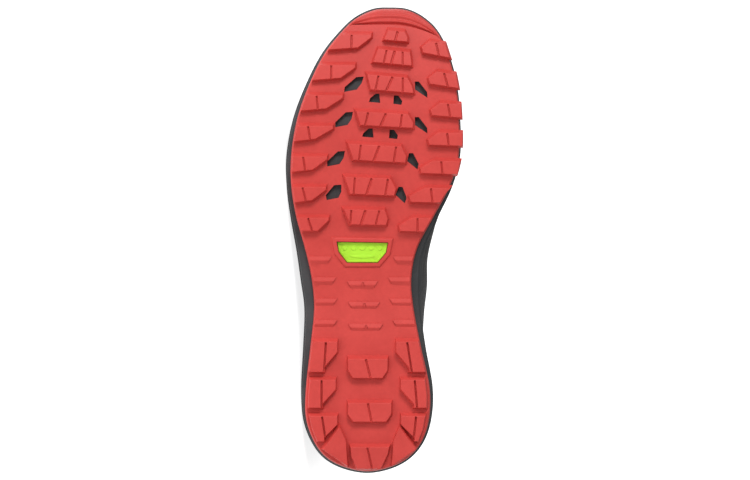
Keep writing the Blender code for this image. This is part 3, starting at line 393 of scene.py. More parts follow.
class Placing:
    """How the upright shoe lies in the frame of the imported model."""

    def __init__(self, mounts: Sequence[dict], last: Last) -> None:
        """Reads the placing from the heel's and the forefoot's ground face.

        Args:
            mounts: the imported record's mounts, heel first.
            last: the form that gives where both faces are on the upright shoe.
        """
        heel, ball = (Vector(mount["pos_m"]) for mount in mounts[:2])
        toe = (ball - heel).normalized()
        up = -Vector(mounts[0]["axis"])
        up = (up - toe * up.dot(toe)).normalized()
        turn = Matrix((toe.cross(up), toe, up)).transposed()
        origin = heel - toe * (last.heel_mount - last.mount_inset) * last.length
        self.matrix = Matrix.Translation(origin) @ turn.to_4x4()

    def rested(self, points: Grid, clear: float) -> Grid:
        """Points pressed up from the floor, softly, as cloth that lies on it.

        Args:
            points: points on the upright shoe, the last axis their coordinates.
            clear: height that the lowest ones keep, in metres.

        Returns:
            The points, moved only where they were under or close over that height.
        """
        up = np.array(self.matrix.to_3x3().transposed() @ Vector((0.0, 0.0, 1.0)))
        height = points @ up + self.matrix.translation.z - clear
        soft = 0.0006
        lifted = 0.5 * (height + np.sqrt(height**2 + soft**2))
        near = ease(-height, -6 * soft, -2 * soft)
        return points + ((lifted - height) * near)[..., None] * up

    def settle(self, piece: Piece) -> None:
        """Moves the piece's mesh from the upright shoe to where the shoe lies."""
        piece.data.transform(self.matrix)
        piece.data.update()


class Bench:
    """Hand tools that make and shape meshes through Blender's operators."""

    @staticmethod
    def clear() -> None:
        """Leaves nothing selected."""
        if bpy.context.mode != "OBJECT":
            bpy.ops.object.mode_set(mode="OBJECT")
        bpy.ops.object.select_all(action="DESELECT")

    @staticmethod
    def take(piece: Piece) -> None:
        """Selects one piece alone and makes it the active one."""
        Bench.clear()
        piece.select_set(True)
        bpy.context.view_layer.objects.active = piece

    @staticmethod
    def sheet(name: str, points: Grid) -> Piece:
        """Grid laid over rows and columns of points, with its pattern laid out in metres.

        Args:
            name: name of the piece.
            points: rows by columns by three coordinates, columns running round.

        Returns:
            The new piece, its faces pointing where columns cross rows.
        """
        rows, columns = points.shape[:2]
        Bench.clear()
        bpy.ops.mesh.primitive_grid_add(x_subdivisions=columns - 1, y_subdivisions=rows - 1, size=1.0)
        piece = bpy.context.active_object
        piece.name = name
        mesh = piece.data
        flat = np.zeros(len(mesh.vertices) * 3)
        mesh.vertices.foreach_get("co", flat)
        flat = flat.reshape(-1, 3)
        column = np.rint((flat[:, 0] + 0.5) * (columns - 1)).astype(int)
        row = np.rint((flat[:, 1] + 0.5) * (rows - 1)).astype(int)
        mesh.vertices.foreach_set("co", points[row, column].ravel())
        along = np.linalg.norm(np.diff(points, axis=1, prepend=points[:, :1]), axis=2).cumsum(1)
        up = np.linalg.norm(np.diff(points, axis=0, prepend=points[:1]), axis=2).cumsum(0)
        flat_along = np.broadcast_to(along.mean(0), (rows, columns))
        flat_up = np.broadcast_to(up.mean(1)[:, None], (rows, columns))
        span = np.stack([flat_along, flat_up], 2)
        corner = np.zeros(len(mesh.loops), int)
        mesh.loops.foreach_get("vertex_index", corner)
        mesh.uv_layers[0].data.foreach_set("uv", span[row[corner], column[corner]].ravel())
        mesh.update()
        return piece

    @staticmethod
    def tube(name: str, path: Grid, radius: Values, sides: int) -> Piece:
        """Round cord along a path, of one radius or one for each point, closed at its ends."""
        way = unit(np.gradient(path, axis=0))
        side = unit(np.cross(way[0], [0.0, 0.0, 1.0]))
        turns = np.linspace(0, 2 * math.pi, sides + 1)
        rings = []
        for point, tangent, wide in zip(path, way, np.broadcast_to(radius, len(path))):
            side = unit(side - tangent * side.dot(tangent))
            over = np.cross(tangent, side)
            rings.append(point + wide * (np.outer(np.cos(turns), side) + np.outer(np.sin(turns), over)))
        ends = [np.repeat(path[:1], sides + 1, 0), np.repeat(path[-1:], sides + 1, 0)]
        piece = Bench.sheet(name, np.array([ends[0], *rings, ends[1]]))
        Bench.weld(piece)
        return piece

    @staticmethod
    def cap(ring: Grid, along: int, rise: float = 0.0) -> Piece:
        """Sheet that closes a ring round the shoe from side to side.

        Args:
            ring: the ring's points, from the heel round to the heel.
            along: how many steps of it go from the heel to the toe line, on each side.
            rise: how far the middle stands up, in metres.

        Returns:
            The sheet.
        """
        outer, inner = ring[: along + 1], ring[::-1][: along + 1]
        toe = ring[along : len(ring) - along]
        share = np.linspace(0.0, 1.0, len(toe))[None, :, None]
        points = outer[:, None] * (1 - share) + inner[:, None] * share
        points[-1] = toe
        points[:-1, :, 2] += 4 * rise * (share * (1 - share))[0, :, 0]
        return Bench.sheet("cap", points)

    @staticmethod
    def closed(name: str, rings: Sequence[Grid], along: int) -> Piece:
        """Closed body of rings round the shoe, with caps over its first and its last one."""
        body = Bench.sheet("side", np.array(rings))
        piece = Bench.join(name, [body, Bench.cap(rings[0], along), Bench.cap(rings[-1], along)])
        Bench.weld(piece)
        return piece

    @staticmethod
    def block(name: str, rings: Sequence[Sequence[Sequence[float]]], round_edge: float = 0.0) -> Piece:
        """Closed block drawn up from its first ring through the others.

        Args:
            name: name of the piece.
            rings: rings of points, all with the same number of corners.
            round_edge: radius of the rounding round the last ring, or 0 for a sharp edge.

        Returns:
            The new piece.
        """
        Bench.clear()
        bpy.ops.mesh.primitive_circle_add(vertices=len(rings[0]), radius=1.0, fill_type="NGON")
        piece = bpy.context.active_object
        piece.name = name
        for vertex, point in zip(piece.data.vertices, rings[0]):
            vertex.co = point
        bpy.ops.object.mode_set(mode="EDIT")
        previous = [Vector(point) for point in rings[0]]
        for ring in rings[1:]:
            lift = Vector(ring[0]) - previous[0]
            bpy.ops.mesh.extrude_region_move(TRANSFORM_OT_translate={"value": lift})
            shape = bmesh.from_edit_mesh(piece.data)
            for vertex in [v for v in shape.verts if v.select]:
                nearest = min(range(len(ring)), key=lambda n: (previous[n] + lift - vertex.co).length_squared)
                vertex.co = ring[nearest]
            bmesh.update_edit_mesh(piece.data)
            previous = [Vector(point) for point in ring]
        if round_edge > 0:
            bpy.ops.mesh.bevel(offset=round_edge, segments=2, affect="EDGES", clamp_overlap=True)
        bpy.ops.mesh.select_all(action="SELECT")
        bpy.ops.mesh.normals_make_consistent(inside=False)
        bpy.ops.object.mode_set(mode="OBJECT")
        return piece

    @staticmethod
    def join(name: str, pieces: Sequence[Piece]) -> Piece:
        """Joins pieces into one mesh under a name."""
        Bench.take(pieces[0])
        for piece in pieces:
            piece.select_set(True)
        bpy.ops.object.join()
        pieces[0].name = name
        return pieces[0]

    @staticmethod
    def weld(piece: Piece, distance: float = 2e-6, outward: bool = True) -> None:
        """Merges doubled points, clears faces without area and turns the faces out."""
        Bench.take(piece)
        bpy.ops.object.mode_set(mode="EDIT")
        bpy.ops.mesh.select_all(action="SELECT")
        bpy.ops.mesh.remove_doubles(threshold=distance)
        bpy.ops.mesh.dissolve_degenerate(threshold=distance)
        if outward:
            bpy.ops.mesh.select_all(action="SELECT")
            bpy.ops.mesh.normals_make_consistent(inside=False)
        bpy.ops.object.mode_set(mode="OBJECT")

    @staticmethod
    def modify(piece: Piece, kind: str, **settings: object) -> None:
        """Adds a modifier with its settings and applies it."""
        Bench.take(piece)
        made = piece.modifiers.new(kind.lower(), kind)
        for key, value in settings.items():
            setattr(made, key, value)
        bpy.ops.object.modifier_apply(modifier=made.name)

    @staticmethod
    def cut(piece: Piece, tool: Piece, operation: str = "DIFFERENCE", own: bool = False) -> None:
        """Cuts or joins a piece with a tool, which is used up; own settles overlaps inside it."""
        Bench.modify(piece, "BOOLEAN", operation=operation, solver="EXACT", object=tool, use_self=own)
        bpy.data.objects.remove(tool)

    @staticmethod
    def smooth(piece: Piece, degrees: float = 30.0, weighted: bool = False) -> None:
        """Shades a piece smooth up to an angle, with flat faces kept flat if weighted."""
        Bench.take(piece)
        bpy.ops.object.shade_smooth_by_angle(angle=math.radians(degrees))
        if weighted:
            Bench.modify(piece, "WEIGHTED_NORMAL", keep_sharp=True, weight=80)


def operator(kind: str, turned: bool = False) -> Callable[..., "Wire"]:
    """Method of a wire that applies one kind of Math node, its operands turned round if asked."""

    def apply(self: "Wire", *others: "Wire | float") -> "Wire":
        """Result of the node."""
        return self.paint.maths(kind, *others, self) if turned else self.paint.maths(kind, self, *others)

    return apply


@dataclass(frozen=True)
class Wire:
    """One value of a material that takes part in arithmetic."""

    paint: "Paint"
    socket: bpy.types.NodeSocket

    __add__ = __radd__ = operator("ADD")
    __mul__ = __rmul__ = operator("MULTIPLY")
    __sub__, __rsub__ = operator("SUBTRACT"), operator("SUBTRACT", True)
    sine, size, top = operator("SINE"), operator("ABSOLUTE"), operator("MAXIMUM")

    def between(self, low: float, high: float) -> "Wire":
        """Eased share of the way from low to high."""
        made = self.paint.node(
            "ShaderNodeMapRange",
            {"interpolation_type": "SMOOTHSTEP"},
            {"Value": self, "From Min": low, "From Max": high},
        )
        return Wire(self.paint, made.outputs["Result"])


class Paint:
    """Builds one material from nodes."""

    def __init__(self, name: str) -> None:
        """Starts an empty material of that name."""
        self.material = bpy.data.materials.new(name)
        self.material.use_nodes = True
        self.tree = self.material.node_tree
        self.shader = self.tree.nodes["Principled BSDF"]

    def node(self, kind: str, settings: dict | None = None, sockets: dict | None = None) -> bpy.types.Node:
        """Adds a node.

        Args:
            kind: Blender's type name of the node.
            settings: the node's own settings, and "stops" for a ramp's places and colours.
            sockets: values or wires for its inputs, by name or number.

        Returns:
            The node.
        """
        made = self.tree.nodes.new(kind)
        for key, value in (settings or {}).items():
            if key == "stops":
                for number, (place, colour) in enumerate(value):
                    stop = made.color_ramp.elements[number] if number < 2 else made.color_ramp.elements.new(place)
                    stop.position, stop.color = place, (*colour, 1.0)
            else:
                setattr(made, key, value)
        for key, value in (sockets or {}).items():
            self.feed(made.inputs[key], value)
        return made

    def feed(self, socket: bpy.types.NodeSocket, value: object) -> None:
        """Links a wire to a socket, or sets the socket's own value."""
        if isinstance(value, Wire):
            self.tree.links.new(value.socket, socket)
        elif isinstance(value, tuple) and len(value) == 3 and socket.type == "RGBA":
            socket.default_value = (*value, 1.0)
        else:
            socket.default_value = value

    def maths(self, operation: str, *values: Wire | float) -> Wire:
        """Result of a Math node on values or numbers."""
        made = self.node("ShaderNodeMath", {"operation": operation}, dict(enumerate(values)))
        return Wire(self, made.outputs[0])

    def coords(self, kind: Coords = Coords.OBJECT) -> Wire:
        """Place on the piece, in metres."""
        return Wire(self, self.node("ShaderNodeTexCoord").outputs[kind.value])

    def parts(self, place: Wire) -> list[Wire]:
        """The three coordinates of a place."""
        made = self.node("ShaderNodeSeparateXYZ", None, {0: place})
        return [Wire(self, socket) for socket in made.outputs]

    def noise(self, place: Wire, size: float, detail: float = 2.0, rough: float = 0.5) -> Wire:
        """Cloudy pattern whose features are about size across, in metres."""
        sockets = {"Vector": place, "Scale": 1 / size, "Detail": detail, "Roughness": rough}
        return Wire(self, self.node("ShaderNodeTexNoise", None, sockets).outputs[0])

    def cells(self, place: Wire, size: float, feature: str = "F1") -> Wire:
        """Cell pattern whose cells are about size across, in metres."""
        made = self.node("ShaderNodeTexVoronoi", {"feature": feature}, {"Vector": place, "Scale": 1 / size})
        return Wire(self, made.outputs["Distance"])

    def blend(self, share: Wire | float, first: Wire | tuple, second: Wire | tuple) -> Wire:
        """Colour between two colours."""
        made = self.node("ShaderNodeMix", {"data_type": "RGBA"}, {0: share, 6: first, 7: second})
        return Wire(self, made.outputs[2])

    def relief(self, height: Wire, depth: float, below: Wire | None = None) -> Wire:
        """Bump whose full height is depth, in metres, over another one."""
        sockets: dict = {"Height": height, "Distance": depth, "Strength": 1.0}
        if below is not None:
            sockets["Normal"] = below
        return Wire(self, self.node("ShaderNodeBump", None, sockets).outputs["Normal"])

    def finish(self, **sockets: object) -> bpy.types.Material:
        """Feeds the shader, names as on its sockets with _ for spaces, and gives the material."""
        for key, value in sockets.items():
            self.feed(self.shader.inputs[key.replace("_", " ")], value)
        return self.material


@dataclass(frozen=True)
class Rubber:
    """Moulded rubber: fine spark-eroded grain, faint mould clouds, satin gloss."""

    name: str
    colour: Triple
    shade: Triple
    roughness: float = 0.46
    grain: float = 0.00045
    grain_depth: float = 0.00003

    def material(self) -> bpy.types.Material:
        """Builds the material."""
        paint = Paint(self.name)
        place = paint.coords()
        grain = paint.noise(place, self.grain, 3.0, 0.6)
        pits = paint.cells(place, self.grain * 1.6)
        cloud = paint.noise(place, 0.016, 3.0, 0.55)
        fleck = paint.noise(place, 0.0022, 2.0, 0.5)
        tone = (cloud * 0.65 + fleck * 0.35).between(0.32, 0.72)
        height = grain * 0.7 + pits * 0.5
        return paint.finish(
            Base_Color=paint.blend(tone, self.shade, self.colour),
            Roughness=self.roughness - 0.06 + cloud * 0.10 + grain * 0.05,
            Normal=paint.relief(height, self.grain_depth),
            Specular_IOR_Level=0.22,
        )


@dataclass(frozen=True)
class Foam:
    """Moulded midsole foam: matt skin with fine pebbles and faint shade clouds."""

    name: str = "grey_foam_skin"
    colour: Triple = (0.044, 0.046, 0.048)
    shade: Triple = (0.030, 0.032, 0.034)
    roughness: float = 0.62

    def material(self) -> bpy.types.Material:
        """Builds the material."""
        paint = Paint(self.name)
        place = paint.coords()
        pebbles = paint.cells(place, 0.0011)
        fine = paint.noise(place, 0.0004, 2.0, 0.6)
        cloud = paint.noise(place, 0.02, 2.0, 0.5)
        return paint.finish(
            Base_Color=paint.blend(cloud.between(0.35, 0.7), self.shade, self.colour),
            Roughness=self.roughness - 0.05 + fine * 0.12,
            Normal=paint.relief(pebbles * 0.8 + fine * 0.3, 0.00006),
            Specular_IOR_Level=0.35,
        )


@dataclass(frozen=True)
class Knit:
    """Close sandwich mesh: staggered open cells between raised yarns."""

    name: str
    yarn: Triple = (0.036, 0.035, 0.036)
    gap: Triple = (0.008, 0.008, 0.009)
    pitch: float = 0.0022
    depth: float = 0.00022
    openness: float = 0.42
    sheen: float = 0.15

    def material(self) -> bpy.types.Material:
        """Builds the material."""
        paint = Paint(self.name)
        place = paint.coords(Coords.UV)
        across, up, _ = paint.parts(place)
        turn = 2 * math.pi / self.pitch
        lattice = (across * turn).sine() * (up * (turn * 0.58)).sine()
        shifted = (across * turn + math.pi / 2).sine() * (up * (turn * 0.58) + math.pi / 2).sine()
        cell = lattice.size().top(shifted.size())
        hole = cell.between(self.openness + 0.10, self.openness + 0.42)
        strand = ((across + up * 0.5) * (turn * 6)).sine() * 0.5 + 0.5
        fuzz = paint.noise(place, 0.0005, 3.0, 0.65)
        wear = paint.noise(place, 0.02, 2.0, 0.5)
        height = (1 - hole) * (0.75 + strand * 0.2) + fuzz * 0.25
        bright = (1 - hole) * (0.70 + strand * 0.15 + fuzz * 0.25) * (0.85 + wear * 0.3)
        return paint.finish(
            Base_Color=paint.blend(bright.between(0.0, 1.0), self.gap, self.yarn),
            Roughness=0.72 + fuzz * 0.2,
            Normal=paint.relief(height, self.depth),
            Sheen_Weight=self.sheen,
            Sheen_Roughness=0.5,
        )


@dataclass(frozen=True)
class Film:
    """Welded overlay: thin satin film whose surface shows a fine leather-like grain."""

    name: str = "black_film_skin"
    colour: Triple = (0.034, 0.034, 0.036)
    shade: Triple = (0.022, 0.022, 0.024)

    def material(self) -> bpy.types.Material:
        """Builds the material."""
        paint = Paint(self.name)
        place = paint.coords()
        cells = paint.cells(place, 0.0013, "DISTANCE_TO_EDGE")
        fine = paint.noise(place, 0.0005, 3.0, 0.6)
        cloud = paint.noise(place, 0.014, 2.0, 0.5)
        height = cells.between(0.0, 0.25) * 0.7 + fine * 0.3
        return paint.finish(
            Base_Color=paint.blend(cloud.between(0.3, 0.7), self.shade, self.colour),
            Roughness=0.42 + fine * 0.16,
            Normal=paint.relief(height, 0.00005),
        )


@dataclass(frozen=True)
class Weave:
    """Plain or braided cloth from crossed threads on the piece's own flat coordinates."""

    name: str
    light: Triple
    dark: Triple
    pitch: float = 0.0009
    lean: float = 1.0
    depth: float = 0.00010
    roughness: float = 0.78
    sheen: float = 0.2

    def material(self) -> bpy.types.Material:
        """Builds the material."""
        paint = Paint(self.name)
        place = paint.coords(Coords.UV)
        across, up, _ = paint.parts(place)
        turn = 2 * math.pi / self.pitch
        one = ((across + up * self.lean) * (turn / 2)).sine().size()
        two = ((across - up * self.lean) * (turn / 2)).sine().size()
        over = (across * turn).sine() * (up * turn).sine()
        thread = one * over.between(-0.3, 0.3) + two * (1 - over.between(-0.3, 0.3))
        fuzz = paint.noise(place, 0.0004, 3.0, 0.65)
        cloud = paint.noise(place, 0.012, 2.0, 0.5)
        tone = (thread * 0.6 + fuzz * 0.25 + cloud * 0.3).between(0.15, 0.95)
        return paint.finish(
            Base_Color=paint.blend(tone, self.dark, self.light),
            Roughness=self.roughness + fuzz * 0.12,
            Normal=paint.relief(thread * 0.8 + fuzz * 0.3, self.depth),
            Sheen_Weight=self.sheen,
            Sheen_Roughness=0.5,
        )


@dataclass(frozen=True)
class Floor:
    """Plain pale floor under the shoe that also glows with its own colour: painted light that lifts the shoe's
    shadow on it to near white.
    """

    name: str = "glowing_pale_floor"
    colour: Triple = (0.90, 0.90, 0.90)
    shade: Triple = (0.885, 0.885, 0.885)
    glow: float = 0.86

    def material(self) -> bpy.types.Material:
        """Builds the material."""
        paint = Paint(self.name)
        place = paint.coords()
        cloud = paint.noise(place, 0.4, 2.0, 0.5)
        fibre = paint.noise(place, 0.003, 2.0, 0.5)
        return paint.finish(
            Base_Color=paint.blend(cloud.between(0.3, 0.7), self.shade, self.colour),
            Roughness=0.85 + fibre * 0.08,
            Normal=paint.relief(fibre, 0.00002),
            # Painted light: the floor gives off its own colour as glow, so the shoe's shadow on it stays near
            # white.
            Emission_Color=paint.blend(cloud.between(0.3, 0.7), self.shade, self.colour),
            Emission_Strength=self.glow,
        )


@dataclass(frozen=True)
class Finishes:
    """All the finishes of the shoe, made once."""

    red: bpy.types.Material
    lime: bpy.types.Material
    foam: bpy.types.Material
    mesh: bpy.types.Material
    lining: bpy.types.Material
    pad: bpy.types.Material
    film: bpy.types.Material
    cord: bpy.types.Material
    thread: bpy.types.Material
    sock: bpy.types.Material

    @classmethod
    def mixed(cls) -> "Finishes":
        """Makes every finish."""
        return cls(
            red=Rubber("red_rubber_skin", (0.548, 0.055, 0.047), (0.490, 0.047, 0.040)).material(),
            lime=Rubber("lime_rubber_skin", (0.40, 0.77, 0.040), (0.36, 0.70, 0.035), 0.42).material(),
            foam=Foam().material(),
            mesh=Knit("black_mesh_cloth").material(),
            lining=Weave("black_lining_cloth", (0.040, 0.040, 0.042), (0.014, 0.014, 0.015), 0.0011).material(),
            pad=Knit(
                "black_tongue_cloth", (0.042, 0.041, 0.042), (0.010, 0.010, 0.011), 0.0016, 0.00014, 0.5
            ).material(),
            film=Film().material(),
            cord=Weave(
                "grey_lace_braid", (0.085, 0.086, 0.090), (0.022, 0.022, 0.024), 0.0014, 1.0, 0.00018
            ).material(),
            thread=Weave("black_thread", (0.120, 0.120, 0.124), (0.050, 0.050, 0.052), 0.0005).material(),
            sock=Weave("grey_insole_cloth", (0.110, 0.110, 0.115), (0.050, 0.050, 0.053), 0.0010).material(),
        )


@dataclass
class Workshop:
    """What every sub-assembly needs: the form, the placing and the finishes."""

    last: Last
    placing: Placing
    finishes: Finishes
    made: list[str] = field(default_factory=list)

    def deliver(
        self, piece: Piece, finish: bpy.types.Material, slot: str, *nodes: str
    ) -> Piece:
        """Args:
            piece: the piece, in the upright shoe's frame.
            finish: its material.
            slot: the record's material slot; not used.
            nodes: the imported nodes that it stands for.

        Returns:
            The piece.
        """
        if not piece.data.materials:
            piece.data.materials.append(finish)
        self.placing.settle(piece)
        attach(piece, BODY)
        if nodes:
            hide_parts(*nodes)
        self.made.append(piece.name)
        LOG.info("%s: %d faces", piece.name, len(piece.data.polygons))
        return piece


def straight(height: Height, corners: Corners) -> Height:
    """Height that runs straight between the ends of an outline, so that its ring is flat."""
    back, front = min(y for _, y in corners), max(y for _, y in corners)
    low, high = float(height(back)), float(height(front))
    return lambda y: low + (high - low) * (y - back) / max(front - back, 1e-9)


def grown(corners: Corners, by: float | Sequence[float]) -> Corners:
    """Moves the sides of a flat outline outwards.

    Args:
        corners: the outline's corners in order.
        by: distance for all sides, or one for each side, the first from corner 0 to 1.

    Returns:
        The new corners.
    """
    points = [Vector(corner) for corner in corners]
    count = len(points)
    reach = [by] * count if isinstance(by, (int, float)) else list(by)
    middle = sum(points, Vector((0, 0))) / count
    turn = sum((points[n] - middle).cross(points[(n + 1) % count] - middle) for n in range(count))
    sign = 1 if turn > 0 else -1
    moved = []
    for n, corner in enumerate(points):
        before = (corner - points[n - 1]).normalized()
        after = (points[(n + 1) % count] - corner).normalized()
        out_before = Vector((before.y, -before.x)) * sign
        out_after = Vector((after.y, -after.x)) * sign
        first, second = reach[n - 1], reach[n]
        across = out_before.cross(out_after)
        if abs(across) < 0.15:
            moved.append(tuple(corner + (out_before + out_after).normalized() * (first + second) / 2))
            continue
        a, b = out_before.dot(corner) + first, out_after.dot(corner) + second
        x, y = a * out_after.y - b * out_before.y, out_before.x * b - out_after.x * a
        moved.append((x / across, y / across))
    return moved


def hung(corners: Corners, height: Height) -> list[Triple]:
    """Corners in plan brought to a height that depends on the length."""
    return [(x, y, float(height(y))) for x, y in corners]


@dataclass
class Outsole:
    """Red rubber tread: plate with openings, lugs with sipes, waist bars and toe bumper."""

    shop: Workshop
    along: int = 120
    across: int = 36
    lug_draft: float = 0.0005
    lug_ramp: float = 0.0018
    lug_inset: Pair = (0.0009, 0.0005)
    centre_inset: Pair = (0.0014, 0.0006)
    lug_root: float = 0.0008
    lug_edge: float = 0.00032
    # How far up each ring of a lug lies, its share of the ramp and its share of the root's fillet
    lug_rings: tuple[Triple, ...] = (
        (-0.2, 1.0, 0.62), (0.0, 1.0, 0.55), (0.16, 0.86, 0.24), (0.38, 0.62, 0.06), (1.0, 0.0, 0.0),
    )
    full_height: float = 0.003
    sipe_width: float = 0.0011
    sipe_depth: float = 0.0012
    sipe_start: float = 0.0003
    sipe_end: float = 0.0012
    groove: Pair = (0.0011, 0.0019)
    groove_start: float = 0.0004
    # Ribs of the bumper: place, reach to the heel and to the toe as shares of the bumper's
    # width, depth in metres
    toe_grooves: tuple[tuple[float, float, float, float], ...] = (
        (0.035, 0.035, 0.200, 0.0018), (0.425, 0.175, 0.150, 0.0014), (0.745, 0.160, 0.100, 0.0012),
    )
    toe_fade: float = 0.0035
    lug_pitch: float = 0.0659
    lug_depth: float = 0.0325
    lug_drop: float = 0.0050
    lateral_front: float = 0.9455
    lateral_inset: float = 0.0006
    medial_overhang: float = 0.0022
    # Tip and slant of the outer lug; front, depth, tip, slant and turn of the inner one; then
    # the sipes' ends in mm
    edge_lugs: Rows = (
        (-0.027, 0.082, 0.9345, 0.0315, 0.320, 0.050, 11, 10.3, 10.3, 44.4, 46.7),
        (0.070, 0.090, 0.8685, 0.0330, 0.360, 0.055, 9, 23.4, 23.4, 49.6, 52.5),
        (0.145, 0.100, 0.7995, 0.0325, 0.373, 0.062, 5, 32.8, 31.9, 52.0, 53.9),
        (0.202, 0.110, 0.7345, 0.0315, 0.357, 0.068, 2, 38.4, 36.7, 51.5, 52.8),
        (0.238, 0.087, 0.6740, 0.0320, 0.310, 0.090, 2, 41.5, 40.0, 47.7, 48.7),
        (0.245, 0.085, 0.6155, 0.0355, 0.245, 0.105, 1.5, 41.9, 39.5, 41.0, 42.3),
        (0.229, 0.066, 0.5515, 0.0340, 0.183, 0.092, 2, 38.4, 35.2, 32.4, 32.4),
    )
    # Front, depth, turn, outer front and back, inner front, tip and back
    centre_lugs: Rows = (
        (0.9565, 0.0275, 4.7, -0.122, -0.094, 0.224, 0.246, 0.245),
        (0.9160, 0.0355, 5.5, -0.062, -0.027, 0.257, 0.267, 0.270),
        (0.8612, 0.0385, 4.8, 0.010, -0.016, 0.238, 0.274, 0.282),
        (0.7812, 0.0355, 3.2, 0.077, 0.044, 0.243, 0.278, 0.277),
        (0.7115, 0.0405, 3.3, 0.126, 0.088, 0.203, 0.238, 0.231),
        (0.6400, 0.0425, 2.4, 0.146, 0.106, 0.136, 0.175, 0.164),
        (0.5696, 0.0385, 1.0, 0.151, 0.106, 0.104, 0.127, 0.115),
    )
    # Ends of the sipes in each middle lug, front and back, in mm to the outer side
    centre_sipes: tuple[tuple[Pair, ...], ...] = (
        ((-19.6, -17.5),),
        ((-12.4, -10.2), (-17.7, -14.8), (-22.8, -22.9)),
        ((-7.2, -4.8), (-16.3, -11.5), (-22.9, -22.9)),
        ((-0.5, 1.9), (-12.0, -7.7), (-22.4, -21.0)),
        ((4.2, 5.7), (-7.7, -3.4), (-18.5, -16.7)),
        ((8.1, 9.0), (-2.8, 1.2), (-13.3, -11.2)),
        ((10.4, 11.1), (1.2, 4.9), (-7.8, -4.8)),
    )
    centre_tip: float = 0.60
    # Front, depth, outer and inner reach, inset, then the grooves' ends in mm on both sides
    heel_lugs: Rows = (
        (0.280, 0.065, 0.241, 0.230, 0.0010, 26.8, 28.1, 25.7, 28.9),
        (0.198, 0.060, 0.253, 0.267, 0.0024, 29.6, 29.6, 30.6, 32.2),
        (0.120, 0.054, 0.241, 0.270, 0.0028, 29.3, 26.7, 31.5, 29.6),
    )
    heel_cut: float = 0.105
    heel_centre: Rows = (
        (0.243, 0.041, 0.154, 0.160, 1.0, -2.3),
        (0.148, 0.040, 0.154, 0.190, -0.3, -2.9),
    )
    heel_centre_cut: float = 0.040
    rear_lug: tuple[Pair, ...] = (
        (0.135, 0.053), (-0.173, 0.053), (-0.164, 0.039), (-0.106, 0.006), (0.081, 0.006), (0.127, 0.032),
    )
    rear_sipe: tuple[float, ...] = (0.0, 0.0155, -3.7 * MM, -0.001)
    wide_sipe: Pair = (0.0012, 0.0012)
    rear_wedge: tuple[Pair, ...] = ((0.221, 0.096), (0.172, 0.067), (0.159, 0.012), (0.352, 0.048))
    rear_shift: float = 0.036
    bar_height: float = 0.0013
    bar_depth: float = 0.0051
    bar_slant: float = 0.040
    edge_bars: tuple[Triple, ...] = (
        (0.464, 0.285, 0.205), (0.419, 0.250, 0.165), (0.373, 0.242, 0.177), (0.327, 0.241, 0.201),
    )
    centre_bars: tuple[Triple, ...] = (
        (0.411, 0.164, 0.083), (0.366, 0.155, 0.099), (0.319, 0.153, 0.124),
    )
    rim_height: float = 0.0012
    rim_width: float = 0.0025
    badge: tuple[Pair, ...] = (
        (0.246, 0.496), (0.232, 0.474), (0.164, 0.450), (-0.083, 0.450), (-0.151, 0.472), (-0.167, 0.494),
    )
    # Openings: the corner nearest the toe and the middle lug, and how far the shape leans
    lateral_windows: tuple[Triple, ...] = (
        (0.022, 0.8520, 0.33), (0.086, 0.7757, 0.0), (0.134, 0.6913, 0.0), (0.156, 0.6187, -0.56),
    )
    medial_windows: tuple[Triple, ...] = (
        (0.284, 0.8413, 0.0), (0.284, 0.7643, 0.0), (0.249, 0.6866, -0.69), (0.186, 0.6137, -1.06),
    )
    lateral_small: tuple[Triple, ...] = ((-0.071, 0.815, 0.0), (-0.031, 0.740, 0.0))
    medial_small: tuple[Triple, ...] = ((0.159, 0.811, 0.0), (0.133, 0.737, 0.0))
    lateral_shape: tuple[Pair, ...] = (
        (0.0, 0.0), (0.009, -0.0153), (0.033, -0.0283), (0.107, -0.0333), (0.1065, -0.0227), (0.0435, -0.001),
    )
    medial_shape: tuple[Pair, ...] = (
        (0.0, 0.0), (0.001, -0.0173), (0.075, -0.0353), (0.074, -0.0233), (0.024, 0.0),
    )
    lateral_small_shape: tuple[Pair, ...] = (
        (0.0, 0.0), (-0.006, -0.020), (0.062, -0.018), (0.055, -0.010), (0.022, 0.0),
    )
    medial_small_shape: tuple[Pair, ...] = (
        (0.0, 0.0), (-0.004, -0.018), (0.044, -0.020), (0.050, -0.012), (0.026, 0.0),
    )
    lugs: list[Piece] = field(default_factory=list)

    def _rib(self, share: float) -> float:
        """How far the bumper's grooves go in at a share of the wall's way up."""
        across = math.sin(share * math.pi / 2)
        deep = 0.0
        for centre, heelward, toeward, depth in self.toe_grooves:
            away = (centre - across) / heelward if across < centre else (across - centre) / toeward
            deep = max(deep, depth * (1 - float(ease(away, 0.15, 1.0))))
        return deep

    def _shell(self) -> Piece:
        """Plate and turned-up wall of the rubber as one closed shell."""
        last = self.shop.last
        places = last.ring_places(self.along, self.across)
        shares = np.linspace(0.0, 1.0, 73)
        outer = np.array([last.outer_wall(places, float(share)) for share in shares])
        along = np.roll(outer[:, :-1], -1, 1) - np.roll(outer[:, :-1], 1, 1)
        out = unit(np.cross(np.concatenate([along, along[:, :1]], 1), np.gradient(outer, axis=0)))
        ribs = np.array([self._rib(float(share)) for share in shares])[:, None]
        depth = ribs * ease(last.rolled(places), 0.0, self.toe_fade)[None]
        inner = (last.inner_wall(places, float(share)) for share in np.linspace(1.0, 0.0, 13))
        return Bench.closed("outsole_rubber", [*(outer - out * depth[..., None]), *inner], self.along)

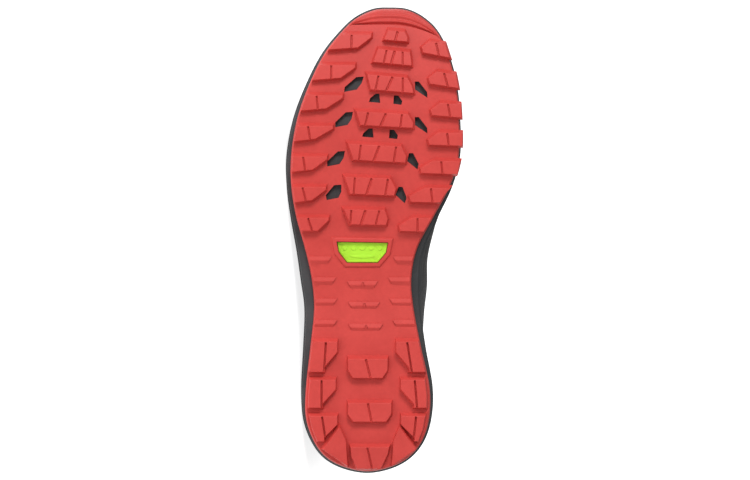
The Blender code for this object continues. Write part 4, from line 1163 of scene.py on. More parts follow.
    def _block(
        self, corners: Corners, ramp: Sequence[float] | float, ground: Height, edge: float
    ) -> Piece:
        """One lug or bar: ground face, ramped sides and a filleted root sunk in the plate."""
        reach = [ramp] * len(corners) if isinstance(ramp, (int, float)) else list(ramp)
        base, face = straight(self.shop.last.plate_under, corners), straight(ground, corners)
        slim = min(1.0, (base(corners[0][1]) - face(corners[0][1])) / self.full_height)
        rings = []
        for down, out, extra in self.lug_rings:
            sides = [r * out + self.lug_root * extra * slim for r in reach]
            rings.append(hung(grown(corners, sides), lambda y, d=down: base(y) * (1 - d) + face(y) * d))
        return Bench.block("lug", rings, edge)

    def _lug(self, corners: Corners, *sipes: tuple[float, ...], inset: Pair = (0.0, 0.0)) -> None:
        """Adds a lug whose first side is a long ramp to the toe.

        Args:
            corners: its outline, from the outer front corner across the front.
            sipes: for each groove in it the two ends and, if not the usual, its width and depth.
            inset: how far its ground face stays inside the outline, in front and at the other sides.
        """
        count = len(corners) - 1
        face = grown(corners, [-inset[0]] + [-inset[1]] * count) if any(inset) else corners
        ramp = [self.lug_ramp] + [self.lug_draft + inset[1] * 0.6] * count
        lug = self._block(face, ramp, self.shop.last.tread, self.lug_edge)
        ground = straight(self.shop.last.tread, face)
        for ax, ay, bx, by, *more in sipes:
            width, deep = more or (self.sipe_width, self.sipe_depth)
            a, b = Vector((ax, ay)), Vector((bx, by))
            side = (b - a).normalized()
            side = Vector((-side.y, side.x)) * width / 2
            flat = [tuple(a + side), tuple(b + side), tuple(b - side), tuple(a - side)]
            wide, narrow = grown(flat, 0.2 * width), grown(flat, -0.3 * width)
            rings = [
                hung(wide, lambda y: ground(y) - 0.001), hung(wide, lambda y: ground(y) - 0.0001),
                hung(narrow, lambda y: ground(y) + deep),
            ]
            Bench.cut(lug, Bench.block("sipe", rings))
        self.lugs.append(lug)

    def _outer_lug(self, number: int, tip: float, slant: float, a: float, b: float) -> None:
        """Lug at the outer edge of the forefoot, with its sipe from a to b in mm."""
        last = self.shop.last
        depth = self.lug_depth * last.length
        front = (self.lateral_front - number * self.lug_pitch) * last.length
        back, tip = front - depth, tip * last.ball_width
        drop = back - self.lug_drop * last.length if number < len(self.edge_lugs) - 1 else back
        outer_front, outer_back = (last.edge_x(Side.LATERAL, y, -self.lateral_inset) for y in (front, drop))
        corners = [
            (outer_front, front), (tip, front), (tip, front - 0.3 * depth),
            (tip + slant * last.ball_width, back), (outer_back, drop),
        ]
        start = front - self.sipe_start - self.lug_inset[0]
        self._lug(corners, (a * MM, start, b * MM, back - self.sipe_end), inset=self.lug_inset)

    def _inner_lug(
        self, front: float, deep: float, tip: float, slant: float, turn: float, a: float, b: float
    ) -> None:
        """Lug at the inner edge, turned in degrees about its tip, with its sipe from a to b in mm."""
        last = self.shop.last
        front, deep = front * last.length, deep * last.length
        tip, slant = -tip * last.ball_width, slant * last.ball_width
        back, lean = front - deep, math.tan(math.radians(turn))
        outer_front, outer_back = (
            -last.edge_x(Side.MEDIAL, y, self.medial_overhang) for y in (front - 0.2 * deep, back)
        )
        corners = [
            (outer_front, front), (tip - slant, front), (tip, front - 0.60 * deep),
            (tip - 0.012 * last.ball_width, back), (outer_back, back),
        ]
        start = front - self.sipe_start - self.lug_inset[0] + (-a * MM - tip) * lean
        end = back - self.sipe_end + (-b * MM - tip) * lean
        turned = [(x, y + (x - tip) * lean) for x, y in corners]
        self._lug(turned, (-a * MM, start, -b * MM, end), inset=self.lug_inset)

    def _centre_lug(self, lug: tuple[float, ...], cuts: tuple[Pair, ...]) -> None:
        """Lug in the middle of the forefoot, turned about its outer front corner, with its sipes."""
        ball, length = self.shop.last.ball_width, self.shop.last.length
        front, deep, turn, out_front, out_back, in_front, in_tip, in_back = lug
        lean = math.tan(math.radians(turn))
        shares = [(out_front, 0.0), (-in_front, 0.0), (-in_tip, self.centre_tip), (-in_back, 1.0), (out_back, 1.0)]
        start = out_front * ball
        flat = [(across * ball, (front - share * deep) * length) for across, share in shares]
        sipes = []
        for number, (a, b) in enumerate(cuts):
            top = front * length + (a * MM - start) * lean - self.sipe_start - self.centre_inset[0]
            low = (front - deep) * length + (b * MM - start) * lean - self.sipe_end
            wide = 1.25 if number == 1 or len(cuts) == 1 else 0.95
            sipes.append((a * MM, top, b * MM, low, self.sipe_width * wide, self.sipe_depth))
        self._lug([(x, y + (x - start) * lean) for x, y in flat], *sipes, inset=self.centre_inset)

    def _forefoot(self) -> None:
        """Lugs of the forefoot, at both edges and in the middle, with their sipes."""
        for number, row in enumerate(self.edge_lugs):
            self._outer_lug(number, *row[:2], *row[7:9])
            self._inner_lug(*row[2:7], *row[9:])
        for lug, cuts in zip(self.centre_lugs, self.centre_sipes):
            self._centre_lug(lug, cuts)

    def _heel(self) -> None:
        """Lugs of the heel, their grooves, and the three at its rear."""
        last = self.shop.last
        heel, length = last.heel_width, last.length
        for front, depth, out, inn, inset, oa, ob, ia, ib in self.heel_lugs:
            front, depth = front * length, depth * length
            back = front - depth
            for side, reach, a, b in ((Side.LATERAL, out, oa, ob), (Side.MEDIAL, inn, ia, ib)):
                reach, sign = reach * heel, side.value
                cut = reach + self.heel_cut * heel
                edge = [(last.edge_x(side, y, -inset), y) for y in (front, back, front - 0.5 * depth)]
                tip = [(reach, front), (reach, front - 0.34 * depth), (cut, front - 0.86 * depth), (cut, back)]
                start, end = front - self.groove_start, back - self.sipe_end
                groove = (sign * a * MM, start, sign * b * MM, end, *self.groove)
                self._lug([(sign * x, y) for x, y in (edge[0], *tip, *edge[1:])], groove)
        for front, depth, out, inn, a, b in self.heel_centre:
            front, depth = front * length, depth * length
            out, inn, cut = out * heel, inn * heel, self.heel_centre_cut * heel
            tip, back = front - self.centre_tip * depth, front - depth
            corners = [(out, front), (-inn, front), (-inn, tip), (cut - inn, back), (out - cut, back), (out, tip)]
            self._lug(corners, (a * MM, front - self.sipe_start, b * MM, back - self.sipe_end, *self.wide_sipe))
        self._lug(last.plan(self.rear_lug), (*self.rear_sipe, *self.wide_sipe))
        wedge = last.plan(self.rear_wedge[3:] + self.rear_wedge[:3])
        self._lug(wedge)
        self._lug([(-x - self.rear_shift * heel, y) for x, y in wedge])

    def _bars(self) -> list[Piece]:
        """Low bars across the waist and the rim round the badge."""
        last = self.shop.last
        heel, length = last.heel_width, last.length
        slant = self.bar_slant * heel
        made = []
        for along, out, inn in self.edge_bars:
            front = along * length
            for side, reach in ((Side.LATERAL, out * heel), (Side.MEDIAL, inn * heel)):
                ends = [last.edge_x(side, front - down * self.bar_depth, -last.edge_roll) for down in (0.0, 1.0)]
                near, far = (reach, reach + slant), (ends[0], ends[1])
                made.append(self._ridge(front, [side.value * x for x in near], [side.value * x for x in far]))
        for along, out, inn in self.centre_bars:
            out, inn = out * heel, inn * heel
            bar = self._ridge(along * length, [out, out - slant], [-inn, slant - inn])
            middle = (out - inn) / 2 - 0.0002
            for ax, bx in ((middle + 0.0001, middle + 0.0014), (middle - 0.0004, middle - 0.0016)):
                bar = self._notched(bar, along * length, ax, bx)
            made.append(bar)
        rim = grown(last.plan(self.badge), self.rim_width)
        made.append(self._block(rim, 0.0003, lambda y: last.plate_under(y) - self.rim_height, 0.0008))
        return made

    def _ridge(self, front: float, first: Sequence[float], second: Sequence[float]) -> Piece:
        """Bar with a small step at its front, a ramp up to a ridge and a slope down behind.

        Args:
            front: length at which it starts.
            first: places across of one end, at its front and at its back.
            second: the same of its other end.

        Returns:
            The bar, as one closed block drawn across.
        """
        base = float(self.shop.last.plate_under(front - 0.5 * self.bar_depth))
        section = ((0.0, -0.7), (0.0, 0.50), (0.42, 0.84), (0.50, 0.88), (0.58, 0.80), (1.0, -0.12), (1.0, -0.7))
        rings = []
        for share in (0.0, 1.0):
            ring = []
            for down, rise in section:
                a, b = (ends[0] + (ends[1] - ends[0]) * down for ends in (first, second))
                y = front - down * self.bar_depth
                ring.append((a + (b - a) * share, y, base - rise * self.bar_height))
            rings.append(ring)
        return Bench.block("bar", rings)

    def _notched(self, bar: Piece, front: float, top: float, low: float) -> Piece:
        """Cuts a thin notch over a bar's ridge between two places across."""
        base = float(self.shop.last.plate_under(front - 0.5 * self.bar_depth))
        back, wide = front - self.bar_depth, 0.0003
        front, back = front - 0.0009, back + 0.0002
        flat = [(top - wide, front), (top + wide, front), (low + wide, back), (low - wide, back)]
        rings = [hung(flat, lambda y, up=up: base - up * self.bar_height) for up in (2.0, 0.40)]
        Bench.cut(bar, Bench.block("notch", rings))
        return bar

    def _windows(self) -> Piece:
        """Cutters of the openings through the plate and of the badge's window."""
        last = self.shop.last
        ball, length = last.ball_width, last.length
        sets = (
            (self.lateral_windows, self.lateral_shape, 1), (self.medial_windows, self.medial_shape, -1),
            (self.lateral_small, self.lateral_small_shape, 1), (self.medial_small, self.medial_small_shape, -1),
        )
        outlines = [last.plan(self.badge)]
        for windows, shape, sign in sets:
            for across, along, lean in windows:
                outlines.append([(sign * (across + x - lean * y) * ball, (along + y) * length) for x, y in shape])
        heights = (lambda y: last.plate_under(y) - 0.004, lambda y: last.plate_under(y) + last.plate + 0.002)
        blocks = [Bench.block("window", [hung(outline, height) for height in heights]) for outline in outlines]
        return Bench.join("windows", blocks)

    def _outline_block(self) -> Piece:
        """Block that trims the lugs: flush with the sole's edge, a little past it by the ball's inner side."""
        last = self.shop.last
        places = np.linspace(0.0, last.stations, 241)[:-1]
        row = last.row_of(places)
        inner = (places > last.last_row) * band(row, 10.6, 11.2, 17.6, 18.2)
        sides = 1 - band(row, 0.8, 2.2, 6.5, 7.5)
        reach = -self.lateral_inset * (1 - inner) + self.medial_overhang * inner - 0.0004 * sides * (1 - inner)
        ring = [(float(x), float(y)) for x, y, _ in last.edge(places, reach)]
        return Bench.block("outline", [[(x, y, height) for x, y in ring] for height in (-0.010, 0.045)])

    def build(self) -> Piece:
        """Builds, joins and dresses the rubber, and gives the finished piece."""
        shell = self._shell()
        self._forefoot()
        self._heel()
        lugs = Bench.join("lugs", self.lugs)
        Bench.cut(lugs, self._outline_block(), "INTERSECT", own=True)
        Bench.cut(shell, lugs, "UNION")
        Bench.cut(shell, Bench.join("bars", self._bars()), "UNION")
        Bench.cut(shell, self._windows())
        Bench.weld(shell, 5e-6, False)
        Bench.smooth(shell, 32.0, True)
        return self.shop.deliver(shell, self.shop.finishes.red, "red_rubber", "outsole")


@dataclass
class Badge:
    """Plain lime insert with a sunk field, held in the waist by the rubber's rim."""

    shop: Workshop
    outsole: Outsole
    thickness: float = 0.0024
    border: float = 0.0011
    sink: float = 0.00035
    ridge: float = 0.00035
    studs: tuple[float, ...] = (-0.100, -0.030, 0.040, 0.110, 0.180)
    stud_size: Pair = (0.017, 0.0085)
    # Place across and along, half width and depth of the bar
    bar: tuple[float, ...] = (0.040, 0.4640, 0.095, 0.0055)

    def _ridges(self, under: Height) -> list[Piece]:
        """Plain low bars that stand up in the sunk field: a row of five and one under them."""
        last = self.shop.last
        wide, deep = self.stud_size
        studs = [(x, 0.4825, wide + 0.003 * (2 - abs(n - 2)), deep) for n, x in enumerate(self.studs)]
        made = []
        for across, along, wide, deep in [*studs, self.bar]:
            x, y = across * last.heel_width, along * last.length
            wide, deep = wide * last.heel_width, deep * last.length
            turns = [math.tau * n / 20 for n in range(20)]
            ring = [(x + wide * math.cos(turn), y + deep / 1.6 * math.sin(turn)) for turn in turns]
            field_height = under(y) + self.sink
            low, high = field_height + 0.0003, field_height - self.ridge
            levels = ((low, 0.0002), (high + 0.00012, 0.0), (high, -0.0002))
            made.append(Bench.block("ridge", [[(a, b, z) for a, b in grown(ring, by)] for z, by in levels]))
        return made

    def build(self) -> Piece:
        """Builds and dresses the insert."""
        last = self.shop.last
        flat = last.plan(self.outsole.badge)
        outline = grown(flat, -last.gap)
        over = lambda y: float(last.plate_under(y)) + last.plate
        under = lambda y: over(y) - self.thickness
        sunk = grown(flat, -last.gap - self.border)
        rings = [
            hung(outline, over),
            hung(outline, lambda y: under(y) + 0.0002),
            hung(grown(flat, -last.gap - 0.0002), under),
            hung(sunk, under),
            hung(grown(sunk, -0.0003), lambda y: under(y) + self.sink),
        ]
        piece = Bench.block("badge_lime", rings)
        for bar in self._ridges(under):
            Bench.cut(piece, bar, "UNION")
        Bench.smooth(piece, 30.0, True)
        return self.shop.deliver(piece, self.shop.finishes.lime, "lime_rubber", "badge_insert")


@dataclass
class Midsole:
    """Foam midsole with lengthwise ridges along its side and a lip round the upper."""

    shop: Workshop
    along: int = 140
    across: int = 40
    lip: float = 0.0024
    lip_level: float = 0.09
    groove: float = 0.0011
    # Place of each wave up the side, its width, and its height as a share of the groove's depth
    waves: tuple[Triple, ...] = (
        (0.40, 0.045, -0.9), (0.66, 0.03, -0.55), (0.52, 0.06, 0.25), (0.0, 0.05, -0.5), (0.32, 0.022, 1.0),
    )

    def _profile(self, share: float) -> float:
        """How far the side stands out, as a share of the groove's depth."""
        return sum(height * float(bump_at(share, place, width)) for place, width, height in self.waves)

    def _side(self, places: Grid, share: float) -> Grid:
        """Ring of the midsole's side, from the top of the rubber up to the lip."""
        last = self.shop.last
        low = last.inner_wall(places, 1.0)[:, 2] + last.gap
        lip = last.skin(places, self.lip_level, last.gap + self.lip)
        flare = last.around(places, last.flare_at)
        wide = last.edge(places, flare + self._profile(share) * self.groove)
        mix = float(ease(share, 0.45, 1.0))
        ring = wide * (1 - mix) + lip * mix
        ring[:, 2] = low + (lip[:, 2] - low) * share
        return ring

    def build(self) -> Piece:
        """Builds and dresses the midsole."""
        last = self.shop.last
        places = last.ring_places(self.along, self.across)
        lift = np.array([0.0, 0.0, last.gap])
        rings = [last.inner_wall(places, share, last.gap) + lift for share in (0.0, 0.25, 0.5, 0.75, 1.0)]
        rings += [self._side(places, float(share)) for share in np.linspace(0.03, 0.97, 44)]
        top = self._side(places, 1.0)
        inner = last.skin(places, self.lip_level, last.gap)
        for share in (0.12, 0.5, 0.88):
            rings.append(top * (1 - share) + inner * share + lift * 1.2 * math.sin(share * math.pi))
        rings += [last.skin(places, level, last.gap) for level in (self.lip_level - 0.006, 0.05, 0.0)]
        rings.append(last.skin(places, 0.0, last.gap) - lift)
        rings = list(self.shop.placing.rested(np.array(rings), -0.0003))
        piece = Bench.closed("midsole_foam", rings, self.along)
        Bench.smooth(piece, 40.0)
        return self.shop.deliver(piece, self.shop.finishes.foam, "grey_foam", "midsole")


@dataclass
class Upper:
    """Textile upper: one wall with a padded collar, soft creases and sewn seams."""

    shop: Workshop
    per_gap: int = 8
    wall: float = 0.0020
    collar_pad: float = 0.0045
    eyelet_rows: tuple[float, ...] = (10.3, 11.2, 12.1, 13.1, 14.2, 15.4)
    eyelet_level: float = 0.905
    eyelet_radius: float = 0.0022
    punch: float = 0.012
    puff: float = 0.0012
    seam_depth: float = 0.0008
    ankle_depth: float = 0.0007
    # Level of the collar's seam: middle, swing and turn for each row
    seam: Triple = (0.66, 0.04, 0.6)
    # Place along, depth and width of each flex crease, along and width in lengths
    creases: tuple[Triple, ...] = (
        (0.700, 0.0007, 0.006), (0.735, 0.0009, 0.007), (0.775, 0.0006, 0.006),
    )

    def thickness(self, place: Grid, level: Grid) -> Grid:
        """Thickness of the wall, with the collar padded on its inside."""
        collar = 1 - ease(self.shop.last.row_of(place), 6.5, 9.2)
        roll = ease(level, 0.42, 0.72) * (1 - 0.45 * ease(level, 0.90, 1.0))
        return self.wall + self.collar_pad * collar * roll

    def seam_level(self, row: Values) -> Grid:
        """Level of the collar's seam at a row."""
        middle, swing, turn = self.seam
        return middle + swing * np.cos(row * turn)

    def relief(self, place: Grid, level: Grid) -> Grid:
        """How far the cloth stands out: padding, flex creases and seam lines."""
        last = self.shop.last
        row = last.row_of(place)
        y = last.skin(place, level)[..., 1] / last.length
        collar = 1 - ease(row, 6.0, 9.0)
        stand = self.puff * collar * bump_at(level, 0.86, 0.10)
        stand -= self.seam_depth * collar * bump_at(level, self.seam_level(row), 0.016)
        flex = band(level, 0.22, 0.5, 0.80, 0.92)
        for centre, depth, width in self.creases:
            wander = centre + 0.012 * np.sin(level * 5 + place * 0.3)
            stand -= depth * flex * bump_at(y, wander, width)
            stand += 0.5 * depth * flex * bump_at(y, wander + 0.018, width)
        stand -= self.ankle_depth * bump_at(row, 8.6, 0.5) * band(level, 0.35, 0.6, 0.85, 0.97)
        return stand * ease(level, 0.05, 0.15)

    def build(self) -> Piece:
        """Builds and dresses the upper."""
        last = self.shop.last
        places = np.linspace(0.0, last.stations, last.stations * self.per_gap + 1)
        levels = np.concatenate([np.linspace(0.0, 0.6, 22, endpoint=False), np.linspace(0.6, 0.985, 26)])
        place, level = np.meshgrid(places, levels)
        outer = last.skin(place, level, self.relief(place, level))
        outer = self.shop.placing.rested(outer, 0.0001)
        back = levels[::-1][::2]
        place, level = np.meshgrid(places, back)
        inner = last.skin(place, level, -self.thickness(place, level))
        centre, half = (outer[-1] + inner[0]) / 2, (outer[-1] - inner[0]) / 2
        rise = unit(outer[-1] - outer[-3]) * np.linalg.norm(half, axis=1, keepdims=True)
        turns = np.linspace(0, math.pi, 9)[1:-1]
        rim = np.array([centre + half * math.cos(t) + rise * math.sin(t) for t in turns])
        points = np.concatenate([outer, rim, inner, outer[:1]])
        piece = Bench.sheet("upper_cloth", points)
        Bench.weld(piece)
        Bench.cut(piece, self.punches())
        Bench.smooth(piece, 60.0)
        for finish in (self.shop.finishes.mesh, self.shop.finishes.lining):
            piece.data.materials.append(finish)
        self._line(piece, places, levels)
        return self.shop.deliver(piece, self.shop.finishes.mesh, "black_mesh", "upper")

    def _line(self, piece: Piece, places: Grid, levels: Grid) -> None:
        """Gives the faces that look into the shoe the lining's finish."""
        last = self.shop.last
        grid_place, grid_level = np.meshgrid(places[:-1], levels[::3])
        points = last.skin(grid_place, grid_level).reshape(-1, 3)
        normals = last.normal(grid_place, grid_level).reshape(-1, 3)
        flat = np.zeros(len(piece.data.polygons) * 3)
        piece.data.polygons.foreach_get("center", flat)
        centres = flat.reshape(-1, 3).copy()
        piece.data.polygons.foreach_get("normal", flat)
        facing = flat.reshape(-1, 3)
        slots = np.zeros(len(centres), int)
        for start in range(0, len(centres), 2000):
            part = centres[start:start + 2000]
            nearest = ((part[:, None, :] - points[None]) ** 2).sum(2).argmin(1)
            slots[start:start + 2000] = (facing[start:start + 2000] * normals[nearest]).sum(1) < -0.2
        piece.data.polygons.foreach_set("material_index", slots.astype(np.int32))

    def punches(self) -> Piece:
        """Round cutters through all the eyelets."""
        last = self.shop.last
        tools = []
        for side in Side:
            for row in self.eyelet_rows:
                place = last.place_of(side, row)
                middle = Vector(last.skin(place, self.eyelet_level))
                turn = Vector(last.normal(place, self.eyelet_level)).to_track_quat("Z", "Y").to_euler()
                Bench.clear()
                bpy.ops.mesh.primitive_cylinder_add(
                    vertices=20, radius=self.eyelet_radius, depth=self.punch, location=middle, rotation=turn
                )
                tools.append(bpy.context.active_object)
        joined = Bench.join("punches", tools)
        bpy.ops.object.transform_apply(location=True, rotation=True, scale=True)
        return joined


@dataclass
class Overlays:
    """Film overlays welded round the toe, round the heel and along the throat."""

    shop: Workshop
    upper: Upper
    per_gap: int = 8
    film: float = 0.0009
    foot_level: float = 0.11
    toe_shape: tuple[Pair, ...] = (
        (0.505, 0.30), (0.52, 0.355), (0.62, 0.37), (0.76, 0.41), (0.86, 0.48), (0.93, 0.57), (1.1, 0.60),
    )
    heel_shape: tuple[Pair, ...] = (
        (-0.1, 0.78), (0.03, 0.75), (0.10, 0.60), (0.17, 0.47), (0.25, 0.37), (0.275, 0.30),
    )
    stay_start: float = 9.5
    stay_levels: Pair = (0.76, 0.985)

    def wave(self, places: Grid) -> Grid:
        """Scallops of the eyestay's lower edge, in levels."""
        row = self.shop.last.row_of(places)
        return 0.012 * np.cos((row - 10.3) * 2 * math.pi / 0.98) * (1 - ease(row, 15.4, 16.5))

    def level_below(self, places: Grid, shape: tuple[Pair, ...]) -> Grid:
        """Level at which the upper reaches the shape's edge, seen from the side, at each place."""
        last = self.shop.last
        levels = np.linspace(self.foot_level, 0.95, 200)
        place, level = np.meshgrid(places, levels)
        points = last.skin(place, level)
        alongs, heights = zip(*shape)
        edge = np.interp(points[..., 1] / last.length, alongs, heights) * last.tab_height
        return levels[(points[..., 2] < edge).sum(0).clip(1, len(levels)) - 1]

    def _welded(
        self, name: str, places: Grid, lows: Values, tops: Values, relief: bool = True
    ) -> Piece:
        """Thin closed film over the upper between two levels at each place, with its relief or plain."""
        last = self.shop.last
        share = np.linspace(0.0, 1.0, 15)[:, None]
        place = np.broadcast_to(places, (15, len(places)))
        level = lows + (tops - lows) * share
        lift = self.upper.relief(place, level) if relief else 0.0
        piece = Bench.sheet(name, last.skin(place, level, last.gap + lift))
        Bench.modify(piece, "SOLIDIFY", thickness=self.film, offset=1.0, use_even_offset=True)
        Bench.modify(piece, "BEVEL", width=0.0004, segments=2, limit_method="ANGLE", angle_limit=math.radians(50))
        return piece

    def build(self) -> None:
        """Builds and dresses the three overlays."""
        last, film = self.shop.last, self.shop.finishes.film
        for name, node, shape, middle, reach in (
            ("toe_rand_film", "toe_rand", self.toe_shape, last.last_row, 9.4),
            ("heel_counter_film", "heel_counter", self.heel_shape, 0, 5.9),
        ):
            places = np.linspace(middle - reach, middle + reach, int(2 * reach * self.per_gap) + 1)
            tops = np.maximum(self.level_below(places, shape), self.foot_level + 0.02)
            piece = self._welded(name, places, self.foot_level, tops)
            Bench.smooth(piece, 40.0)
            self.shop.deliver(piece, film, "black_film", node)
        places = np.linspace(self.stay_start, last.stations - self.stay_start, 2 * 76 + 1)
        low, high = self.stay_levels
        piece = self._welded("eyestay_film", places, low + self.wave(places), high, False)
        Bench.cut(piece, self.upper.punches())
        Bench.smooth(piece, 40.0)
        self.shop.deliver(piece, film, "black_film", "eyestay")


@dataclass
class Stitching:
    """Sewn rows: thread on the overlays and in the collar's seam that dips at every stitch."""

    shop: Workshop
    overlays: Overlays
    pitch: float = 0.0027
    radius: float = 0.00034
    step: float = 0.00034
    sides: int = 6
    inset: float = 0.024

    def _row(self, places: Grid, levels: Grid, raised: float, relief: bool = True) -> Piece:
        """Thread along a line on the upper.

        Args:
            places: places round the shoe that the line goes through.
            levels: its level at each of them.
            raised: height of what is sewn over the upper's own surface.
            relief: whether the line follows the cloth's padding and creases.

        Returns:
            The thread.
        """
        last, upper = self.shop.last, self.overlays.upper
        lift = raised + (upper.relief(places, levels) if relief else np.zeros(len(places)))
        line = last.skin(places, levels, lift)
        run = np.concatenate([[0.0], np.linalg.norm(np.diff(line, axis=0), axis=1).cumsum()])
        steps = np.arange(0.0, run[-1], self.step)
        place, level, lift = (np.interp(steps, run, values) for values in (places, levels, lift))
        swell = np.abs(np.sin(steps * math.pi / self.pitch)) ** 0.5
        path = last.skin(place, level, lift + self.radius * (swell - 0.85))
        wide = self.radius * (0.45 + 0.55 * swell)
        return Bench.tube("thread", self.shop.placing.rested(path, self.radius), wide, self.sides)

    def build(self) -> Piece:
        """Builds and dresses all the rows as one piece."""
        last, overlays = self.shop.last, self.overlays
        film = last.gap + overlays.film
        rows = []
        for shape, middle, reach in ((overlays.toe_shape, last.last_row, 9.2), (overlays.heel_shape, 0, 5.7)):
            places = np.linspace(middle - reach, middle + reach, 900)
            levels = overlays.level_below(places, shape) - self.inset
            inside = levels > overlays.foot_level + 0.03
            rows.append(self._row(places[inside], levels[inside], film))
        places = np.linspace(overlays.stay_start + 0.2, last.stations - overlays.stay_start - 0.2, 1600)
        for inset in (self.inset * 0.8, self.inset * 1.7):
            rows.append(self._row(places, overlays.stay_levels[0] + overlays.wave(places) + inset, film, False))
        places = np.linspace(-7.2, 7.2, 900)
        rows.append(self._row(places, overlays.upper.seam_level(last.row_of(places)), 0.0001))
        piece = Bench.join("sewn_thread", rows)
        Bench.smooth(piece, 60.0)
        return self.shop.deliver(piece, self.shop.finishes.thread, "black_film")


@dataclass
class Tongue:
    """Padded tongue under the throat, its free end standing up behind the laces."""

    shop: Workshop
    thickness: float = 0.0042
    crown: float = 0.0070
    margin: float = 0.14
    tuck: float = 0.0012
    rows: tuple[float, ...] = (18.0, 17.0, 15.8, 14.5, 13.1, 11.7, 10.4)
    # Length, lean in degrees and width of each step of the free end
    steps: tuple[Triple, ...] = (
        (0.08, 24, 1.00), (0.08, 38, 1.06), (0.07, 52, 1.10), (0.03, 58, 1.03),
    )
    wall: float = 0.0020

    def _line(self, row: float, depth: float) -> Grid:
        """Points across the tongue at a row, at a depth below the upper's outer surface."""
        last = self.shop.last
        outer, inner = last.place_of(Side.LATERAL, row), last.place_of(Side.MEDIAL, row)
        under = self.margin * float(ease(row, 10.0, 12.0))
        start, end = last.skin(outer, 1.0, -depth), last.skin(inner, 1.0, -depth)
        width = min(1.0, float(np.linalg.norm(end - start)) / last.collar_width * 2)
        line = [last.skin(outer, 1 - under, -depth), last.skin(outer, 1 - 0.5 * under, -depth)]
        for share in (0.0, 0.2, 0.4, 0.6, 0.8, 1.0):
            rise = 4 * share * (1 - share) * self.crown * width
            line.append(start + (end - start) * share + np.array([0.0, 0.25, 1.0]) * rise)
        line += [last.skin(inner, 1 - 0.5 * under, -depth), last.skin(inner, 1 - under, -depth)]
        return np.array(line)

    def _sheet(self, depth: float) -> Grid:
        """Lines of the tongue's face at a depth, from the toe end up to the free end."""
        last = self.shop.last
        fan = np.linspace(self.rows[0] + 0.3, last.stations - self.rows[0] - 0.3, 10)
        lines = [last.skin(fan, 1 - self.margin, -depth - self.tuck), self._line(self.rows[0], depth + self.tuck)]
        lines += [self._line(row, depth) for row in self.rows[1:]]
        place = self._line(self.rows[-1], self.wall + 2 * last.gap).mean(0)
        across = lines[-1] - place
        for length, lean, width in self.steps:
            angle = math.radians(lean)
            place = place + np.array([0.0, -math.cos(angle), math.sin(angle)]) * length * last.tab_height
            turn = np.array(Matrix.Rotation(math.radians(self.steps[0][1] - lean), 3, "X"))
            lines.append(place + (across * np.array([width, 1.0, 1.0])) @ turn.T)
        return np.array(lines)

    def build(self) -> Piece:
        """Builds and dresses the tongue."""
        depth = self.wall + 2 * self.shop.last.gap
        top, bottom = self._sheet(depth), self._sheet(depth + self.thickness)
        faces = [Bench.sheet("face", top), Bench.sheet("back", bottom[:, ::-1])]
        faces += [Bench.sheet("side", np.stack([top[:, n], bottom[:, n]])) for n in (0, -1)]
        faces += [Bench.sheet("end", np.stack([top[n], bottom[n]])) for n in (0, -1)]
        piece = Bench.join("tongue_pad", faces)
        Bench.weld(piece)
        Bench.modify(piece, "SUBSURF", levels=2, render_levels=2)
        Bench.smooth(piece, 60.0)
        self.shop.deliver(piece, self.shop.finishes.pad, "black_pad", "tongue")
        return piece


@dataclass
class Laces:
    """Round braided lace, crossed over the tongue through the eyelets."""

    shop: Workshop
    upper: Upper
    radius: float = 0.0018
    lift: float = 0.0060
    film: float = 0.0009
    sides: int = 14

    def _crossing(self, side: Side, row: float, end_row: float, lift: float) -> list[Grid]:
        """Lace from one eyelet up over the edge of the throat and across to another."""
        last = self.shop.last
        other = Side.MEDIAL if side is Side.LATERAL else Side.LATERAL
        height = 2 * last.gap + self.film + self.radius
        near, far = [], []
        for share, level, rise in ((0.0, 0.88, -3.0), (0.0, 0.905, 0.0), (0.10, 0.95, 1.0), (0.20, 1.0, 1.0)):
            offset = height if rise > 0 else (-self.radius * 1.6 if rise < 0 else height * 0.55)
            near.append(last.skin(last.place_of(side, row + (end_row - row) * share), level, offset))
            far.append(last.skin(last.place_of(other, end_row + (row - end_row) * share), level, offset))
        middle = []
        for share in (0.3, 0.7):
            crown = 4 * share * (1 - share) * lift
            middle.append(near[-1] + (far[-1] - near[-1]) * share + np.array([0.0, 0.2, 1.0]) * crown)
        return near + middle + far[::-1]

    def _smooth_path(self, path: Sequence[Grid], step: float = 0.0007) -> Grid:
        """Close points on the smooth curve through a path."""
        points = np.array(path)
        padded = np.concatenate([2 * points[:1] - points[1:2], points, 2 * points[-1:] - points[-2:-1]])
        line = []
        for n in range(len(points) - 1):
            a, b, c, d = padded[n:n + 4]
            count = max(2, int(np.linalg.norm(c - b) / step))
            line += [curve(b, c, (c - a) * 0.5, (d - b) * 0.5, share) for share in np.arange(count) / count]
        line.append(points[-1])
        return np.array(line)

    def build(self) -> Piece:
        """Builds and dresses the laces."""
        rows = list(reversed(self.upper.eyelet_rows))
        runs = [self._crossing(Side.LATERAL, rows[0], rows[0], 0.6 * self.lift)]
        for row, following in zip(rows, rows[1:]):
            runs.append(self._crossing(Side.LATERAL, row, following, self.lift))
            runs.append(self._crossing(Side.MEDIAL, row, following, self.lift * 0.72))
        tubes = [Bench.tube("run", self._smooth_path(run), self.radius, self.sides) for run in runs]
        piece = Bench.join("lace_cord", tubes)
        Bench.smooth(piece, 60.0)
        return self.shop.deliver(piece, self.shop.finishes.cord, "grey_cord", "laces")


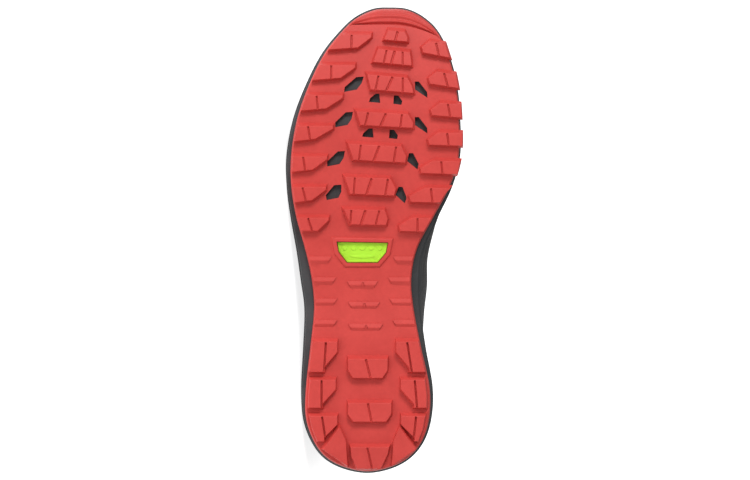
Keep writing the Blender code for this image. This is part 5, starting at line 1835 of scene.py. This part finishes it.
@dataclass
class Insole:
    """Removable cupped insole with a cloth face."""

    shop: Workshop
    along: int = 90
    across: int = 24
    wall: float = 0.0020
    thickness: float = 0.0040
    cup: float = 0.80
    cup_width: float = 0.0080
    lip_level: float = 0.09

    def build(self) -> Piece:
        """Builds and dresses the insole."""
        last = self.shop.last
        places = last.ring_places(self.along, self.across)
        clear = self.wall + last.gap

        def beside(share: float, inset: float) -> Grid:
            """Ring beside the upper's inner wall at a share of the cup's height."""
            low, high = last.skin(places, 0.0, -inset), last.skin(places, self.lip_level, -inset)
            return low * (1 - share) + high * share

        bed = last.skin(places, 0.0, -clear - self.cup_width)
        bed[:, 2] = last.footbed(bed[:, 1]) + last.gap + self.thickness
        lip = beside(self.cup, clear + 4 * last.gap)
        rings = [beside(0.0, clear), beside(self.cup * 0.94, clear), beside(self.cup, clear + last.gap), lip]
        for share in (0.15, 0.35, 0.6, 0.85):
            sag = lip * (1 - share) + bed * share
            sag[:, 2] = bed[:, 2] + (lip[:, 2] - bed[:, 2]) * (1 - share) ** 2
            rings.append(sag)
        rings.append(bed)
        piece = Bench.closed("insole_sock", rings, self.along)
        Bench.smooth(piece, 50.0)
        return self.shop.deliver(piece, self.shop.finishes.sock, "grey_textile", "insole")


@dataclass
class Studio:
    """Pale floor, soft lights and the camera square to the sole."""

    placing: Placing
    floor_size: float = 40.0
    distance: float = 5.0
    metres_per_pixel: float = 0.0006460
    frame_width: int = 750
    sensor: float = 36.0
    target: Triple = (-0.0049, 0.1498, 0.0)
    # Name, direction, spread in degrees and strength of each light
    lamps: tuple[tuple[str, Triple, float, float], ...] = (
        ("toe_light", (-0.86, -0.80, 0.40), 20.0, 2.15), ("top_light", (0.0, -0.12, 1.0), 40.0, 0.55),
    )
    surround: float = 0.33

    def floor(self) -> None:
        """Lays the floor."""
        Bench.clear()
        bpy.ops.mesh.primitive_plane_add(size=self.floor_size, location=(0.0, 0.0, 0.0))
        sheet = bpy.context.active_object
        sheet.name = "floor"
        sheet.data.materials.append(Floor().material())

    def _light(self, name: str, towards: Triple, spread: float, power: float) -> None:
        """Adds one far, broad light that comes from a direction and lights the floor evenly."""
        data = bpy.data.lights.new(name, "SUN")
        data.angle, data.energy = math.radians(spread), power
        lamp = bpy.data.objects.new(name, data)
        bpy.context.scene.collection.objects.link(lamp)
        lamp.rotation_euler = Vector(towards).to_track_quat("Z", "Y").to_euler()

    def lights(self) -> None:
        """Adds the lights and the pale surrounding."""
        for lamp in self.lamps:
            self._light(*lamp)
        world = bpy.data.worlds.new("surround")
        bpy.context.scene.world = world
        world.use_nodes = True
        ground = world.node_tree.nodes["Background"].inputs
        ground["Color"].default_value, ground["Strength"].default_value = (1.0, 1.0, 1.0, 1.0), self.surround
        bpy.context.scene.view_settings.view_transform = "Standard"

    def camera(self) -> None:
        """Sets the camera square to the sole, with the toe at the top."""
        matrix = self.placing.matrix
        turn = matrix.to_3x3()
        spot = matrix @ Vector((self.target[0], self.target[1], self.target[2] - self.distance))
        right, up, back = turn @ Vector((-1, 0, 0)), turn @ Vector((0, 1, 0)), turn @ Vector((0, 0, -1))
        data = bpy.data.cameras.new("camera")
        data.sensor_width = self.sensor
        data.lens = self.sensor * self.distance / (self.metres_per_pixel * self.frame_width)
        data.clip_start, data.clip_end = 0.05, 100.0
        camera = bpy.data.objects.new("camera", data)
        bpy.context.scene.collection.objects.link(camera)
        camera.matrix_world = Matrix.Translation(spot) @ Matrix((right, up, back)).transposed().to_4x4()
        bpy.context.scene.camera = camera

    def build(self) -> None:
        """Builds the whole studio."""
        self.floor()
        self.lights()
        self.camera()


def main() -> None:
    """Builds every sub-assembly in order and reports each piece."""
    logging.basicConfig(level=logging.INFO, format="%(message)s")
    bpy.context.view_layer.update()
    last = Last()
    placing = Placing(frame["record"]["mounts"], last)
    shop = Workshop(last, placing, Finishes.mixed())
    outsole = Outsole(shop)
    outsole.build()
    Badge(shop, outsole).build()
    Midsole(shop).build()
    upper = Upper(shop)
    upper.build()
    overlays = Overlays(shop, upper)
    overlays.build()
    Stitching(shop, overlays).build()
    Tongue(shop).build()
    Laces(shop, upper).build()
    Insole(shop).build()
    Studio(placing).build()
    LOG.info("%d pieces", len(shop.made))


if __name__ == "__main__":
    main()
